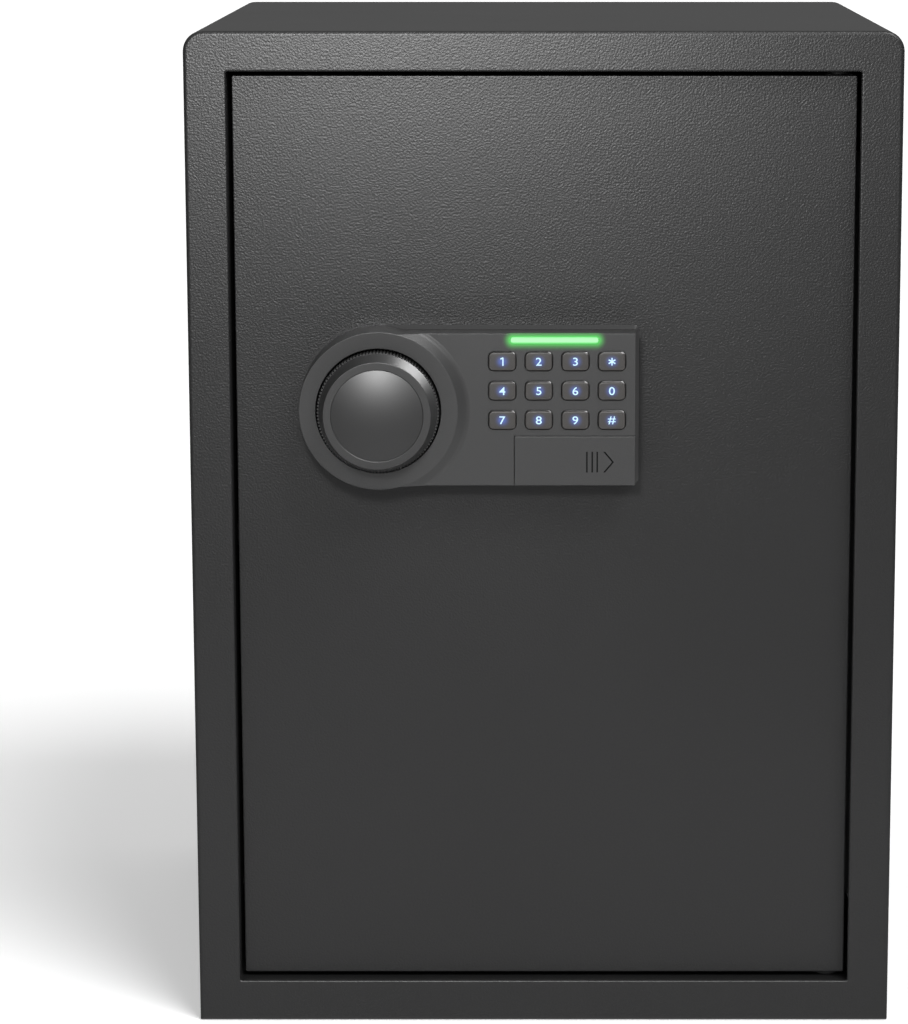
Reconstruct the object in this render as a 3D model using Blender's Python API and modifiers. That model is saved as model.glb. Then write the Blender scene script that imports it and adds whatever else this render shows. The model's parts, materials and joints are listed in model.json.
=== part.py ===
"""Home safe with a swinging front door, a turning knob that throws two bolts, and a keypad lock.

Metres, +Z up, the door faces -Y. The origin is the middle of the underside of the cabinet.
Every sub-part is one object. A moving piece has its origin, or its parent empty, on its joint axis.
"""

from math import cos, pi, radians, sin

import bmesh
import bpy
from mathutils import Matrix, Vector

# Cabinet
WIDTH = 0.350
DEPTH = 0.330
HEIGHT = 0.500
SHEET = 0.002
CORNER = 0.010
FRONT = -DEPTH / 2
BACK = DEPTH / 2
SIDE = WIDTH / 2
FIT = 0.0003

# Face frame round the door
OPEN_SIDE = 0.1543
OPEN_LOW = 0.0210
OPEN_HIGH = 0.4804
RIM_DEPTH = 0.014
RETURN_DEPTH = 0.026
HINGE_RETURN_X = 0.160
HINGE_RETURN_DEPTH = 0.016

# Door
DOOR_LEFT = -0.1522
DOOR_RIGHT = 0.1530
DOOR_LOW = 0.0233
DOOR_HIGH = 0.4781
DOOR_FRONT = FRONT + 0.008
DOOR_THICK = 0.005
DOOR_BACK = DOOR_FRONT + DOOR_THICK
PIVOT_X = 0.1445
PIVOT_Y = DOOR_FRONT + 0.009
PIN_R = 0.0035

# Pan behind the door plate
PAN_SHEET = 0.0012
PAN_LEFT = -0.138
PAN_RIGHT = 0.128
PAN_LOW = 0.045
PAN_HIGH = 0.455
PAN_BACK = -0.112
SCREW_R = 0.0018
SCREW_HEAD_R = 0.0038
SCREW_INSET = 0.010
RESET_R = 0.0036
RESET_Z = 0.300

# Lock housing on the front of the door
PLATE_FRONT = FRONT - 0.010
PLATE_LEFT = -0.0144
PLATE_RIGHT = 0.04505
PLATE_LOW = 0.2785
PLATE_HIGH = 0.3539
RING_FRONT = FRONT - 0.014
RING_R = 0.039
COVE_R = 0.0454
SKIRT = 0.002
HOUSING_WALL = 0.0025
KNOB_X = -0.081
KNOB_Z = 0.3161
RECESS_R = 0.0307
RECESS_FLOOR = FRONT + 0.0005
SPINDLE_R = 0.004
POCKET_LEFT = -0.0320
POCKET_RIGHT = 0.0425
POCKET_LOW = 0.3046
POCKET_HIGH = 0.3528

# Knob
KNOB_R = 0.030
KNOB_FLANGE_R = 0.0263
KNOB_DOME_R = 0.0223
KNOB_FRONT = FRONT - 0.030

# Keypad
KEY_W = 0.0138
KEY_H = 0.0095
KEY_CORNER = 0.0027
KEY_PITCH_X = 0.0179
KEY_PITCH_Z = 0.0145
KEY_FIRST_X = -0.0203
KEY_FIRST_Z = 0.34015
KEY_PROUD = 0.0012
KEY_GAP = 0.0005
LIGHT_X = 0.0053
LIGHT_Z = 0.3506
LIGHT_W = 0.0432
LIGHT_H = 0.0035
BOARD_SET_BACK = 0.0120
BOARD_THICK = 0.0016
CABLE_X = 0.030
CABLE_Z = 0.322
CABLE_R = 0.0016

# Emergency key
COVER_HIGH = 0.3030
COVER_THICK = 0.0021
CYLINDER_X = 0.012
CYLINDER_Z = 0.2907
CYLINDER_R = 0.009
PLUG_R = 0.0059
CYLINDER_BACK = -0.140
LEVER_FRONT = -0.1390
LEVER_BACK = -0.1365

# Bolt work
CRANK = 0.012
CRANK_PIN_R = 0.003
CRANK_START = radians(45)
BOLT_R = 0.008
BOLT_TAIL_R = 0.004
BOLT_Y = -0.130
BOLT_RISE = 0.090
BOLT_TIP = -0.151
CARRIER_LEFT = -0.106
CARRIER_RIGHT = -0.060
CARRIER_FRONT = -0.1215
CARRIER_THICK = 0.003
THROW = 2 * CRANK * sin(CRANK_START)
TAB_LOW = 0.250
PLUNGER_X = -0.045
PLUNGER_Y = -0.120
PLUNGER_R = 0.0032
PLUNGER_TRAVEL = 0.0055
SOLENOID_HIGH = 0.238

# Battery box in the pan
BATTERY_R = 0.0071
BATTERY_L = 0.0505
BATTERY_PITCH = 0.0155
BOX_LEFT = 0.020
BOX_RIGHT = 0.088
BOX_LOW = 0.090
BOX_HIGH = 0.152
BOX_FRONT = -0.1315

# Inside the cabinet
SHELF_Z = 0.245
SHELF_FRONT = -0.104
SHELF_BACK = 0.144
LEDGE = 0.0125
ANCHOR_X = 0.100
ANCHOR_R = 0.0062
BACK_ANCHOR_Z = 0.400


# ---------------------------------------------------------------- helpers


def new_collection(name):
    made = bpy.data.collections.new(name)
    bpy.context.scene.collection.children.link(made)
    return made


def clear_scene():
    for obj in list(bpy.data.objects):
        bpy.data.objects.remove(obj, do_unlink=True)


def finish_of(name, colour, roughness, metallic):
    """A Principled material for one sub-part."""
    made = bpy.data.materials.new(name)
    made.use_nodes = True
    shader = made.node_tree.nodes["Principled BSDF"]
    shader.inputs["Base Color"].default_value = (*colour, 1.0)
    shader.inputs["Roughness"].default_value = roughness
    shader.inputs["Metallic"].default_value = metallic
    return made


def link(name, mesh):
    obj = bpy.data.objects.new(name, mesh)
    parts.objects.link(obj)
    return obj


def from_bmesh(name, shape):
    mesh = bpy.data.meshes.new(name)
    shape.normal_update()
    bmesh.ops.recalc_face_normals(shape, faces=shape.faces)
    shape.to_mesh(mesh)
    shape.free()
    return link(name, mesh)


def bake(obj):
    """Replaces the object by a plain mesh in world coordinates, with its modifiers applied."""
    bpy.context.view_layer.update()
    graph = bpy.context.evaluated_depsgraph_get()
    mesh = bpy.data.meshes.new_from_object(obj.evaluated_get(graph))
    mesh.transform(obj.matrix_world)
    name = obj.name
    bpy.data.objects.remove(obj, do_unlink=True)
    shape = bmesh.new()
    shape.from_mesh(mesh)
    bmesh.ops.remove_doubles(shape, verts=shape.verts, dist=0.000002)
    shape.to_mesh(mesh)
    shape.free()
    mesh.name = name
    return link(name, mesh)


def combine(target, other, operation):
    """Boolean of two closed meshes. The second one is used up."""
    modifier = target.modifiers.new(operation.title(), "BOOLEAN")
    modifier.operation = operation
    modifier.solver = "EXACT"
    modifier.object = other
    result = bake(target)
    bpy.data.objects.remove(other, do_unlink=True)
    return result


def cut(target, *cutters):
    for cutter in cutters:
        target = combine(target, cutter, "DIFFERENCE")
    return target


def join(target, *others):
    for other in others:
        target = combine(target, other, "UNION")
    return target


def box(name, x, y, z):
    """A box from the low and high value on each axis."""
    shape = bmesh.new()
    bmesh.ops.create_cube(shape, size=1.0)
    for vertex in shape.verts:
        for axis, (low, high) in enumerate((x, y, z)):
            vertex.co[axis] = low if vertex.co[axis] < 0 else high
    return from_bmesh(name, shape)


def rod(name, start, end, radius, segments=24):
    """A cylinder between two points."""
    start, end = Vector(start), Vector(end)
    along = end - start
    shape = bmesh.new()
    bmesh.ops.create_cone(
        shape,
        cap_ends=True,
        segments=segments,
        radius1=radius,
        radius2=radius,
        depth=along.length,
    )
    turn = along.to_track_quat("Z", "Y").to_matrix().to_4x4()
    shape.transform(Matrix.Translation((start + end) / 2) @ turn)
    return from_bmesh(name, shape)


def turned(name, profile, place, rotation, segments=24):
    """A solid of revolution. The profile (radius, height) runs from the top down its outer side."""
    mesh = bpy.data.meshes.new(name)
    edges = [(index, index + 1) for index in range(len(profile) - 1)]
    mesh.from_pydata([(r, 0.0, h) for r, h in profile], edges, [])
    obj = link(name, mesh)
    obj.location = place
    obj.rotation_euler = rotation
    screw = obj.modifiers.new("Screw", "SCREW")
    screw.axis = "Z"
    screw.angle = 2 * pi
    screw.steps = segments
    screw.render_steps = segments
    screw.use_merge_vertices = True
    screw.merge_threshold = 0.00001
    return bake(obj)


def slab(name, loops, low, high, axis="Y"):
    """Flat outlines, holes among them, extruded from low to high along an axis."""
    curve = bpy.data.curves.new(name, "CURVE")
    curve.dimensions = "2D"
    curve.fill_mode = "BOTH"
    curve.extrude = (high - low) / 2
    for loop in loops:
        spline = curve.splines.new("POLY")
        spline.points.add(len(loop) - 1)
        for point, (u, v) in zip(spline.points, loop):
            point.co = (u, v, 0.0, 1.0)
        spline.use_cyclic_u = True
    obj = link(name, curve)
    middle = (low + high) / 2
    obj.location = {"X": (middle, 0, 0), "Y": (0, middle, 0), "Z": (0, 0, middle)}[axis]
    obj.rotation_euler = {"X": (pi / 2, 0, pi / 2), "Y": (pi / 2, 0, 0), "Z": (0, 0, 0)}[axis]
    return bake(obj)


def rounded(left, right, low, high, radii, segments=4):
    """A rectangle with a radius at each corner: low left, low right, high right, high left."""
    corners = [
        (left, low, 1, 1, pi),
        (right, low, -1, 1, 1.5 * pi),
        (right, high, -1, -1, 0.0),
        (left, high, 1, -1, 0.5 * pi),
    ]
    points = []
    for (x, z, to_x, to_z, start), radius in zip(corners, radii):
        if radius == 0:
            points.append((x, z))
            continue
        for step in range(segments + 1):
            angle = start + 0.5 * pi * step / segments
            across = x + to_x * radius + radius * cos(angle)
            points.append((across, z + to_z * radius + radius * sin(angle)))
    return points


def circle(x, z, radius, segments=24):
    angles = [2 * pi * index / segments for index in range(segments)]
    return [(x + radius * cos(angle), z + radius * sin(angle)) for angle in angles]


def pivot(name, place, parent=None):
    """An empty on a joint axis, which the pieces of one moving body hang from."""
    empty = bpy.data.objects.new(name, None)
    empty.empty_display_size = 0.02
    parts.objects.link(empty)
    empty.location = Vector(place) - (Vector(parent["place"]) if parent else Vector())
    empty["place"] = list(place)
    empty.parent = parent
    return empty


def finished(obj, look, holder=None, smooth=False):
    """Gives a sub-part its material, its shading and its place under its body's empty."""
    place = Vector(holder["place"]) if holder else Vector()
    obj.data.transform(Matrix.Translation(-place))
    obj.parent = holder
    obj.data.materials.clear()
    obj.data.materials.append(look)
    if smooth:
        obj.data.shade_smooth()
        obj.data.set_sharp_from_angle(angle=radians(30))
    return obj


FACING = (pi / 2, 0, 0)
LEFTWARD = (0, -pi / 2, 0)
UPRIGHT = (0, 0, 0)


# ---------------------------------------------------------------- cabinet


def outer_outline(inset=0.0):
    """The cabinet seen from the front: round upper corners, square lower ones."""
    radius = CORNER - inset
    return rounded(-SIDE + inset, SIDE - inset, inset, HEIGHT - inset, (0, 0, radius, radius), 6)


def make_shell():
    outer = rounded(-SIDE, SIDE, 0, HEIGHT, (0, 0, CORNER, CORNER), 6)
    inner = rounded(-SIDE + SHEET, SIDE - SHEET, 0, HEIGHT - SHEET, (0, 0, CORNER - SHEET, CORNER - SHEET), 6)
    section = outer[1:] + outer[:1] + inner[:1] + inner[:0:-1]
    shell = slab("cabinet_shell", [section], FRONT + RIM_DEPTH + FIT, BACK)
    finished(shell, powder_black)


def make_front_frame():
    """A folded face: an outer rim that meets the shell, and returns that line the door opening."""
    tall = (OPEN_LOW, OPEN_HIGH)
    frame = slab("front_frame", [outer_outline()], FRONT, FRONT + RIM_DEPTH)
    frame = cut(frame, slab("hollow", [outer_outline(SHEET)], FRONT + SHEET, FRONT + RIM_DEPTH + 0.001))
    returns = box(
        "returns",
        (-OPEN_SIDE - SHEET, HINGE_RETURN_X + SHEET),
        (FRONT + SHEET / 2, FRONT + RETURN_DEPTH),
        (OPEN_LOW - SHEET, OPEN_HIGH + SHEET),
    )
    frame = join(frame, returns)
    behind = FRONT + RETURN_DEPTH + 0.001
    opening = box("opening", (-OPEN_SIDE, OPEN_SIDE), (FRONT - 0.001, behind), tall)
    hinge_room = box("hinge_room", (OPEN_SIDE - 0.001, HINGE_RETURN_X), (FRONT + SHEET, behind), tall)
    short_return = box(
        "short_return",
        (HINGE_RETURN_X - 0.001, HINGE_RETURN_X + SHEET + 0.001),
        (FRONT + HINGE_RETURN_DEPTH, behind),
        tall,
    )
    hinge_holes = rod("holes", (PIVOT_X, PIVOT_Y, 0.005), (PIVOT_X, PIVOT_Y, HEIGHT - 0.005), 0.0060)
    finished(cut(frame, opening, hinge_room, short_return, hinge_holes), powder_black)


def make_back_panel():
    edge = SIDE - SHEET - FIT
    radius = CORNER - SHEET - FIT
    outline = rounded(-edge, edge, 0, HEIGHT - SHEET - FIT, (0, 0, radius, radius), 6)
    holes = [circle(x, BACK_ANCHOR_Z, ANCHOR_R) for x in (-ANCHOR_X, ANCHOR_X)]
    finished(slab("back_panel", [outline] + holes, BACK - SHEET, BACK), powder_black)


def make_floor_plate():
    edge = SIDE - SHEET - FIT
    outline = rounded(-edge, edge, FRONT + RIM_DEPTH + FIT, BACK - SHEET - FIT, (0, 0, 0, 0))
    holes = [circle(x, 0, ANCHOR_R) for x in (-ANCHOR_X, ANCHOR_X)]
    finished(slab("floor_plate", [outline] + holes, 0, SHEET, "Z"), powder_black)


def make_floor_mat():
    outline = rounded(-0.169, 0.169, -0.136, 0.158, (0.006,) * 4)
    holes = [circle(x, 0, 0.0115) for x in (-ANCHOR_X, ANCHOR_X)]
    low = SHEET + FIT
    finished(slab("floor_mat", [outline] + holes, low, low + 0.003, "Z"), felt_grey)


def make_anchor_plugs():
    """Rubber plugs that close the anchor holes from inside until the safe is bolted down."""
    head, stem, thick, deep = 0.0088, 0.0058, 0.0015, 0.0017
    profile = [
        (0, thick),
        (head - thick / 2, thick),
        (head, thick / 2),
        (head, 0),
        (stem, 0),
        (stem, -deep),
        (0, -deep),
    ]
    spots = {
        "floor_anchor_plug_left": ((-ANCHOR_X, 0, SHEET + FIT), UPRIGHT),
        "floor_anchor_plug_right": ((ANCHOR_X, 0, SHEET + FIT), UPRIGHT),
        "back_anchor_plug_left": ((-ANCHOR_X, BACK - SHEET - FIT, BACK_ANCHOR_Z), FACING),
        "back_anchor_plug_right": ((ANCHOR_X, BACK - SHEET - FIT, BACK_ANCHOR_Z), FACING),
    }
    for name, (place, rotation) in spots.items():
        finished(turned(name, profile, place, rotation, 20), rubber_black, smooth=True)


def make_hinge_bushes():
    """Flanged nylon bushes in the frame's upper and lower returns, which the door's pins turn in."""
    collar, barrel, bore = 0.0065, 0.0057, 0.0038
    top, end = 0.0017, -0.0043
    section = [
        (collar, top),
        (collar, 0),
        (barrel, 0),
        (barrel, end),
        (bore, end),
        (bore, top),
        (collar, top),
    ]
    lower = turned("lower_hinge_bush", section, (PIVOT_X, PIVOT_Y, OPEN_LOW + FIT), UPRIGHT)
    finished(lower, black_plastic, smooth=True)
    upper = turned("upper_hinge_bush", section, (PIVOT_X, PIVOT_Y, OPEN_HIGH - FIT), (pi, 0, 0))
    finished(upper, black_plastic, smooth=True)


def make_ledges():
    for name, side in (("shelf_ledge_left", -1), ("shelf_ledge_right", 1)):
        wall = side * (SIDE - SHEET - FIT)
        top = SHELF_Z - FIT
        section = [
            (wall, top),
            (wall, top - 0.014),
            (wall - side * SHEET, top - 0.014),
            (wall - side * SHEET, top - SHEET),
            (wall - side * LEDGE, top - SHEET),
            (wall - side * LEDGE, top),
        ]
        finished(slab(name, [section], -0.100, 0.140), powder_black)


def make_shelf():
    """A steel tray with its front and back edges folded down."""
    holder = pivot("shelf_lift", (0, 0, SHELF_Z))
    lip = SHELF_Z - 0.010
    top = SHELF_Z + SHEET
    section = [
        (SHELF_FRONT, lip),
        (SHELF_FRONT, top),
        (SHELF_BACK, top),
        (SHELF_BACK, lip),
        (SHELF_BACK - SHEET, lip),
        (SHELF_BACK - SHEET, SHELF_Z),
        (SHELF_FRONT + SHEET, SHELF_Z),
        (SHELF_FRONT + SHEET, lip),
    ]
    edge = SIDE - SHEET - 0.001
    finished(slab("shelf", [section], -edge, edge, "X"), powder_black, holder)


# ---------------------------------------------------------------- door


def make_door_plate():
    outline = rounded(DOOR_LEFT, DOOR_RIGHT, DOOR_LOW, DOOR_HIGH, (0.001,) * 4, 2)
    holes = [
        circle(KNOB_X, KNOB_Z, SPINDLE_R + 0.0015),
        circle(CYLINDER_X, CYLINDER_Z, CYLINDER_R + FIT),
        circle(CABLE_X, CABLE_Z, 0.004, 16),
    ]
    finished(slab("door_plate", [outline] + holes, DOOR_FRONT, DOOR_BACK), powder_black, door)


def bolt_heights():
    return {"upper": KNOB_Z + BOLT_RISE, "lower": KNOB_Z - BOLT_RISE}


def make_inner_cover():
    """The pan round the bolt work: open towards the plate, pierced for the bolts and the batteries."""
    front = DOOR_BACK + FIT
    pan = box("door_inner_cover", (PAN_LEFT, PAN_RIGHT), (front, PAN_BACK), (PAN_LOW, PAN_HIGH))
    hollow = box(
        "hollow",
        (PAN_LEFT + PAN_SHEET, PAN_RIGHT - PAN_SHEET),
        (front - 0.001, PAN_BACK - PAN_SHEET),
        (PAN_LOW + PAN_SHEET, PAN_HIGH - PAN_SHEET),
    )
    past, lip = 0.003, 0.002
    bay = box(
        "bay",
        (BOX_LEFT + lip, BOX_RIGHT - lip),
        (PAN_BACK - past, PAN_BACK + past),
        (BOX_LOW + lip, BOX_HIGH - lip),
    )
    cutters = [hollow, bay]
    for height in bolt_heights().values():
        ends = (PAN_LEFT - past, BOLT_Y, height), (PAN_LEFT + past, BOLT_Y, height)
        cutters.append(rod("slot", *ends, BOLT_R + 0.0006))
    ends = (PAN_RIGHT - past, BOLT_Y, RESET_Z), (PAN_RIGHT + past, BOLT_Y, RESET_Z)
    cutters.append(rod("button", *ends, RESET_R + 0.0004, 16))
    for x, z in screw_spots():
        ends = (x, PAN_BACK - past, z), (x, PAN_BACK + past, z)
        cutters.append(rod("screw", *ends, SCREW_R + 0.0004, 12))
    finished(cut(pan, *cutters), powder_black, door)


def screw_spots():
    columns = (PAN_LEFT + SCREW_INSET, PAN_RIGHT - SCREW_INSET)
    rows = (PAN_LOW + SCREW_INSET, PAN_HIGH - SCREW_INSET)
    return [(x, z) for z in rows for x in columns]


def make_cover_screws():
    head, under_head, tip = SCREW_HEAD_R, -0.0024, -0.036
    slot_floor, slot_half = -0.0019, 0.0005
    profile = [
        (0, -0.0005),
        (head * 0.6, -0.0007),
        (head, -0.0018),
        (head, under_head),
        (SCREW_R, under_head),
        (SCREW_R, tip),
        (0, tip),
    ]
    for number, (x, z) in enumerate(screw_spots(), 1):
        y = PAN_BACK + FIT - under_head
        screw = turned(f"cover_screw_{number}", profile, (x, y, z), (-pi / 2, 0, 0), 12)
        slot = box("slot", (x - head, x + head), (y + slot_floor, y + 0.001), (z - slot_half, z + slot_half))
        finished(cut(screw, slot), zinc, door, smooth=True)


def make_hinge_pins():
    """Each pin stands on a block welded behind the door plate."""
    block_y = (DOOR_BACK + FIT, PIVOT_Y + 0.0050)
    block_x = (PIVOT_X - 0.0065, PIVOT_X + 0.0065)
    for name, door_end, away in (("upper_hinge_pin", DOOR_HIGH, 1), ("lower_hinge_pin", DOOR_LOW, -1)):
        block = box(name, block_x, block_y, sorted((door_end, door_end - away * 0.020)))
        ends = [(PIVOT_X, PIVOT_Y, door_end + away * step) for step in (-0.005, 0.009)]
        pin = rod("pin", *ends, PIN_R)
        finished(join(block, pin), bright_steel, door, smooth=True)


def make_dead_bar():
    """A folded steel bar that hooks behind the frame, so that cut hinges don't free the door."""
    front = DOOR_BACK + FIT
    thick = 0.003
    foot, web, tip = 0.1300, 0.1380, 0.1660
    behind = PIVOT_Y + 0.0110
    section = [
        (foot, front),
        (web + thick, front),
        (web + thick, behind - thick),
        (tip, behind - thick),
        (tip, behind),
        (web, behind),
        (web, front + thick),
        (foot, front + thick),
    ]
    finished(slab("hinge_side_dead_bar", [section], 0.060, 0.440, "Z"), powder_black, door)


def make_bolt_guides():
    """Brackets behind the plate that carry the outer ends of the bolts."""
    front = DOOR_BACK + FIT
    left, thick, foot, end, half_height = -0.1345, 0.003, -0.118, -0.1195, 0.014
    section = [
        (left, front),
        (foot, front),
        (foot, front + SHEET),
        (left + thick, front + SHEET),
        (left + thick, end),
        (left, end),
    ]
    for name, height in bolt_heights().items():
        guide = slab(f"{name}_bolt_guide", [section], height - half_height, height + half_height, "Z")
        hole = rod("hole", (left - 0.002, BOLT_Y, height), (left + 0.006, BOLT_Y, height), BOLT_R + 0.0004)
        finished(cut(guide, hole), zinc, door)


def make_lock_housing():
    """A keypad plate that grows out of a round boss, with a cove between them and a skirt at the door."""
    seat = DOOR_FRONT - FIT
    tall = (PLATE_LOW, PLATE_HIGH)
    plate = box("lock_housing", (KNOB_X, PLATE_RIGHT), (PLATE_FRONT, seat), tall)
    across, drop = COVE_R - RING_R, PLATE_FRONT - RING_FRONT
    slope = []
    for step in range(7):
        turn = 0.5 * pi * step / 6
        slope.append((COVE_R - across * cos(turn), -RING_FRONT - 0.0001 - drop * sin(turn)))
    root = -PLATE_FRONT - 0.002
    cove_profile = [(0, slope[0][1]), *slope, (COVE_R, root), (0, root)]
    cove = turned("cove", cove_profile, (KNOB_X, 0, KNOB_Z), FACING, 48)
    limit = box("limit", (KNOB_X + 0.005, PLATE_RIGHT), (RING_FRONT - 0.001, PLATE_FRONT + 0.003), tall)
    cove = combine(cove, limit, "INTERSECT")
    boss_profile = [
        (0, -RING_FRONT),
        (RING_R, -RING_FRONT),
        (RING_R, SKIRT - seat),
        (RING_R + SKIRT, -seat),
        (0, -seat),
    ]
    boss = turned("boss", boss_profile, (KNOB_X, 0, KNOB_Z), FACING, 48)
    skirt = box("skirt", (KNOB_X, PLATE_RIGHT), (seat - SKIRT, seat), tall)
    for vertex in skirt.data.vertices:
        if vertex.co.y > seat - SKIRT / 2:
            vertex.co.x += SKIRT if vertex.co.x > 0 else 0
            vertex.co.z += SKIRT if vertex.co.z > KNOB_Z else -SKIRT
    housing = join(plate, cove, boss, skirt)

    behind = seat + 0.001
    floor = (KNOB_X, RECESS_FLOOR, KNOB_Z)
    recess = rod("recess", (KNOB_X, RING_FRONT - 0.001, KNOB_Z), floor, RECESS_R, 48)
    shaft_ends = (KNOB_X, RECESS_FLOOR - 0.002, KNOB_Z), (KNOB_X, behind, KNOB_Z)
    shaft = rod("shaft", *shaft_ends, SPINDLE_R + 0.0015)
    inside = box(
        "inside",
        (POCKET_LEFT, POCKET_RIGHT),
        (PLATE_FRONT + HOUSING_WALL, behind),
        (POCKET_LOW, POCKET_HIGH),
    )
    cover_seat = box(
        "cover_seat",
        (PLATE_LEFT - FIT, PLATE_RIGHT + 0.001),
        (PLATE_FRONT - 0.001, PLATE_FRONT + COVER_THICK + FIT),
        (PLATE_LOW - 0.001, COVER_HIGH + FIT),
    )
    cylinder_ends = (CYLINDER_X, PLATE_FRONT, CYLINDER_Z), (CYLINDER_X, behind, CYLINDER_Z)
    cylinder = rod("cylinder", *cylinder_ends, CYLINDER_R + FIT)
    housing = cut(housing, recess, shaft, inside, cover_seat, cylinder)

    through = (PLATE_FRONT - 0.001, PLATE_FRONT + HOUSING_WALL + 0.001)
    for x, z in key_spots().values():
        housing = cut(housing, slab("key", [key_outline(x, z, KEY_GAP)], *through))
    housing = cut(housing, slab("light", [light_outline(FIT)], *through))
    finished(housing, black_plastic, door, smooth=True)


def key_spots():
    """The places of the twelve keys, row by row from the top left."""
    legends = ("1", "2", "3", "star", "4", "5", "6", "0", "7", "8", "9", "hash")
    return {
        f"key_{legend}": (KEY_FIRST_X + KEY_PITCH_X * (index % 4), KEY_FIRST_Z - KEY_PITCH_Z * (index // 4))
        for index, legend in enumerate(legends)
    }


def key_outline(x, z, grow=0.0):
    half_w, half_h = KEY_W / 2 + grow, KEY_H / 2 + grow
    return rounded(x - half_w, x + half_w, z - half_h, z + half_h, (KEY_CORNER + grow,) * 4, 3)


def light_outline(grow=0.0):
    half_w, half_h = LIGHT_W / 2 + grow, LIGHT_H / 2 + grow
    sides = (LIGHT_X - half_w, LIGHT_X + half_w, LIGHT_Z - half_h, LIGHT_Z + half_h)
    return rounded(*sides, (half_h - 0.00001,) * 4, 4)


def make_light_bar():
    lens = slab("light_bar", [light_outline()], PLATE_FRONT - 0.0002, PLATE_FRONT + 0.009)
    finished(lens, green_lens, door)


def make_keys():
    """Each key has a flange behind the plate, which keeps it in, and presses a switch on the board."""
    flange_w, flange_h = 0.0008, 0.0010
    for name, (x, z) in key_spots().items():
        holder = pivot(f"{name}_press", (x, PLATE_FRONT - KEY_PROUD, z), door)
        cap = slab(name, [key_outline(x, z)], PLATE_FRONT - KEY_PROUD, PLATE_FRONT + HOUSING_WALL + 0.001)
        half_w, half_h = KEY_W / 2 + flange_w, KEY_H / 2 + flange_h
        start = PLATE_FRONT + HOUSING_WALL + FIT
        flange = box("flange", (x - half_w, x + half_w), (start, start + 0.0015), (z - half_h, z + half_h))
        finished(join(cap, flange), key_grey, holder)


def make_circuit_board():
    front, gap = PLATE_FRONT + BOARD_SET_BACK, 0.001
    board = box(
        "circuit_board",
        (POCKET_LEFT + gap, POCKET_RIGHT - gap),
        (front, front + BOARD_THICK),
        (POCKET_LOW + gap, POCKET_HIGH - gap),
    )
    finished(board, board_green, door)


def make_lock_cable():
    """The lead from the keypad board, through the door plate and down to the battery box."""
    route = [
        (CABLE_X, PLATE_FRONT + BOARD_SET_BACK + BOARD_THICK + 0.0004, CABLE_Z),
        (CABLE_X, DOOR_BACK + 0.004, CABLE_Z),
        (CABLE_X + 0.004, DOOR_BACK + 0.010, CABLE_Z - 0.008),
        (CABLE_X + 0.016, DOOR_BACK + 0.014, CABLE_Z - 0.040),
        (CABLE_X + 0.030, DOOR_BACK + 0.016, CABLE_Z - 0.090),
        (CABLE_X + 0.036, DOOR_BACK + 0.022, CABLE_Z - 0.140),
        (CABLE_X + 0.034, -0.1225, CABLE_Z - 0.165),
        (CABLE_X + 0.034, -0.1225, BOX_HIGH + 0.0008),
    ]
    points = [Vector(point) for point in route]
    smooth = []
    for index in range(len(points) - 1):
        before = points[max(index - 1, 0)]
        start, end = points[index], points[index + 1]
        after = points[min(index + 2, len(points) - 1)]
        for step in range(4):
            t = step / 4
            smooth.append(
                0.5
                * (
                    2 * start
                    + (end - before) * t
                    + (2 * before - 5 * start + 4 * end - after) * t**2
                    + (3 * start - before - 3 * end + after) * t**3
                )
            )
    smooth.append(points[-1])
    curve = bpy.data.curves.new("lock_cable", "CURVE")
    curve.dimensions = "3D"
    curve.bevel_depth = CABLE_R
    curve.bevel_resolution = 2
    curve.use_fill_caps = True
    spline = curve.splines.new("POLY")
    spline.points.add(len(smooth) - 1)
    for point, place in zip(spline.points, smooth):
        point.co = (*place, 1.0)
    finished(bake(link("lock_cable", curve)), rubber_black, door, smooth=True)


# ---------------------------------------------------------------- knob and bolt work


def make_knob():
    """A hollow turned cap: a dome inside a flat flange, a cone below it and a grip band at the back."""
    front = -KNOB_FRONT
    back = -RECESS_FLOOR + 0.0012
    dome_rise, dome_step = 0.0028, 0.0006
    dome_radius = (KNOB_DOME_R**2 + dome_rise**2) / (2 * dome_rise)
    dome_edge = front - dome_step
    dome_centre = dome_edge + dome_rise - dome_radius
    dome = []
    for step in range(7):
        r = KNOB_DOME_R * step / 6
        dome.append((r, dome_centre + (dome_radius**2 - r**2) ** 0.5))
    profile = dome + [
        (KNOB_DOME_R, front),
        (KNOB_FLANGE_R - 0.0008, front),
        (KNOB_FLANGE_R, front - 0.0008),
        (KNOB_R - 0.0012, front - 0.0105),
        (KNOB_R, front - 0.0115),
        (KNOB_R, back),
        (KNOB_R - 0.003, back),
        (KNOB_R - 0.003, front - 0.0150),
        (KNOB_FLANGE_R - 0.004, front - 0.0040),
        (0.008, front - 0.0040),
        (0.008, back),
        (SPINDLE_R + FIT, back),
        (SPINDLE_R + FIT, front - 0.014),
        (0, front - 0.014),
    ]
    knob = turned("knob", profile, (KNOB_X, 0, KNOB_Z), FACING, 48)
    finished(knob, black_plastic, knob_axis, smooth=True)


def make_spindle():
    ends = (KNOB_FRONT + 0.014 + FIT, CARRIER_FRONT - 0.0029)
    spindle = rod("knob_spindle", (KNOB_X, ends[0], KNOB_Z), (KNOB_X, ends[1], KNOB_Z), SPINDLE_R)
    finished(spindle, bright_steel, knob_axis, smooth=True)


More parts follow.
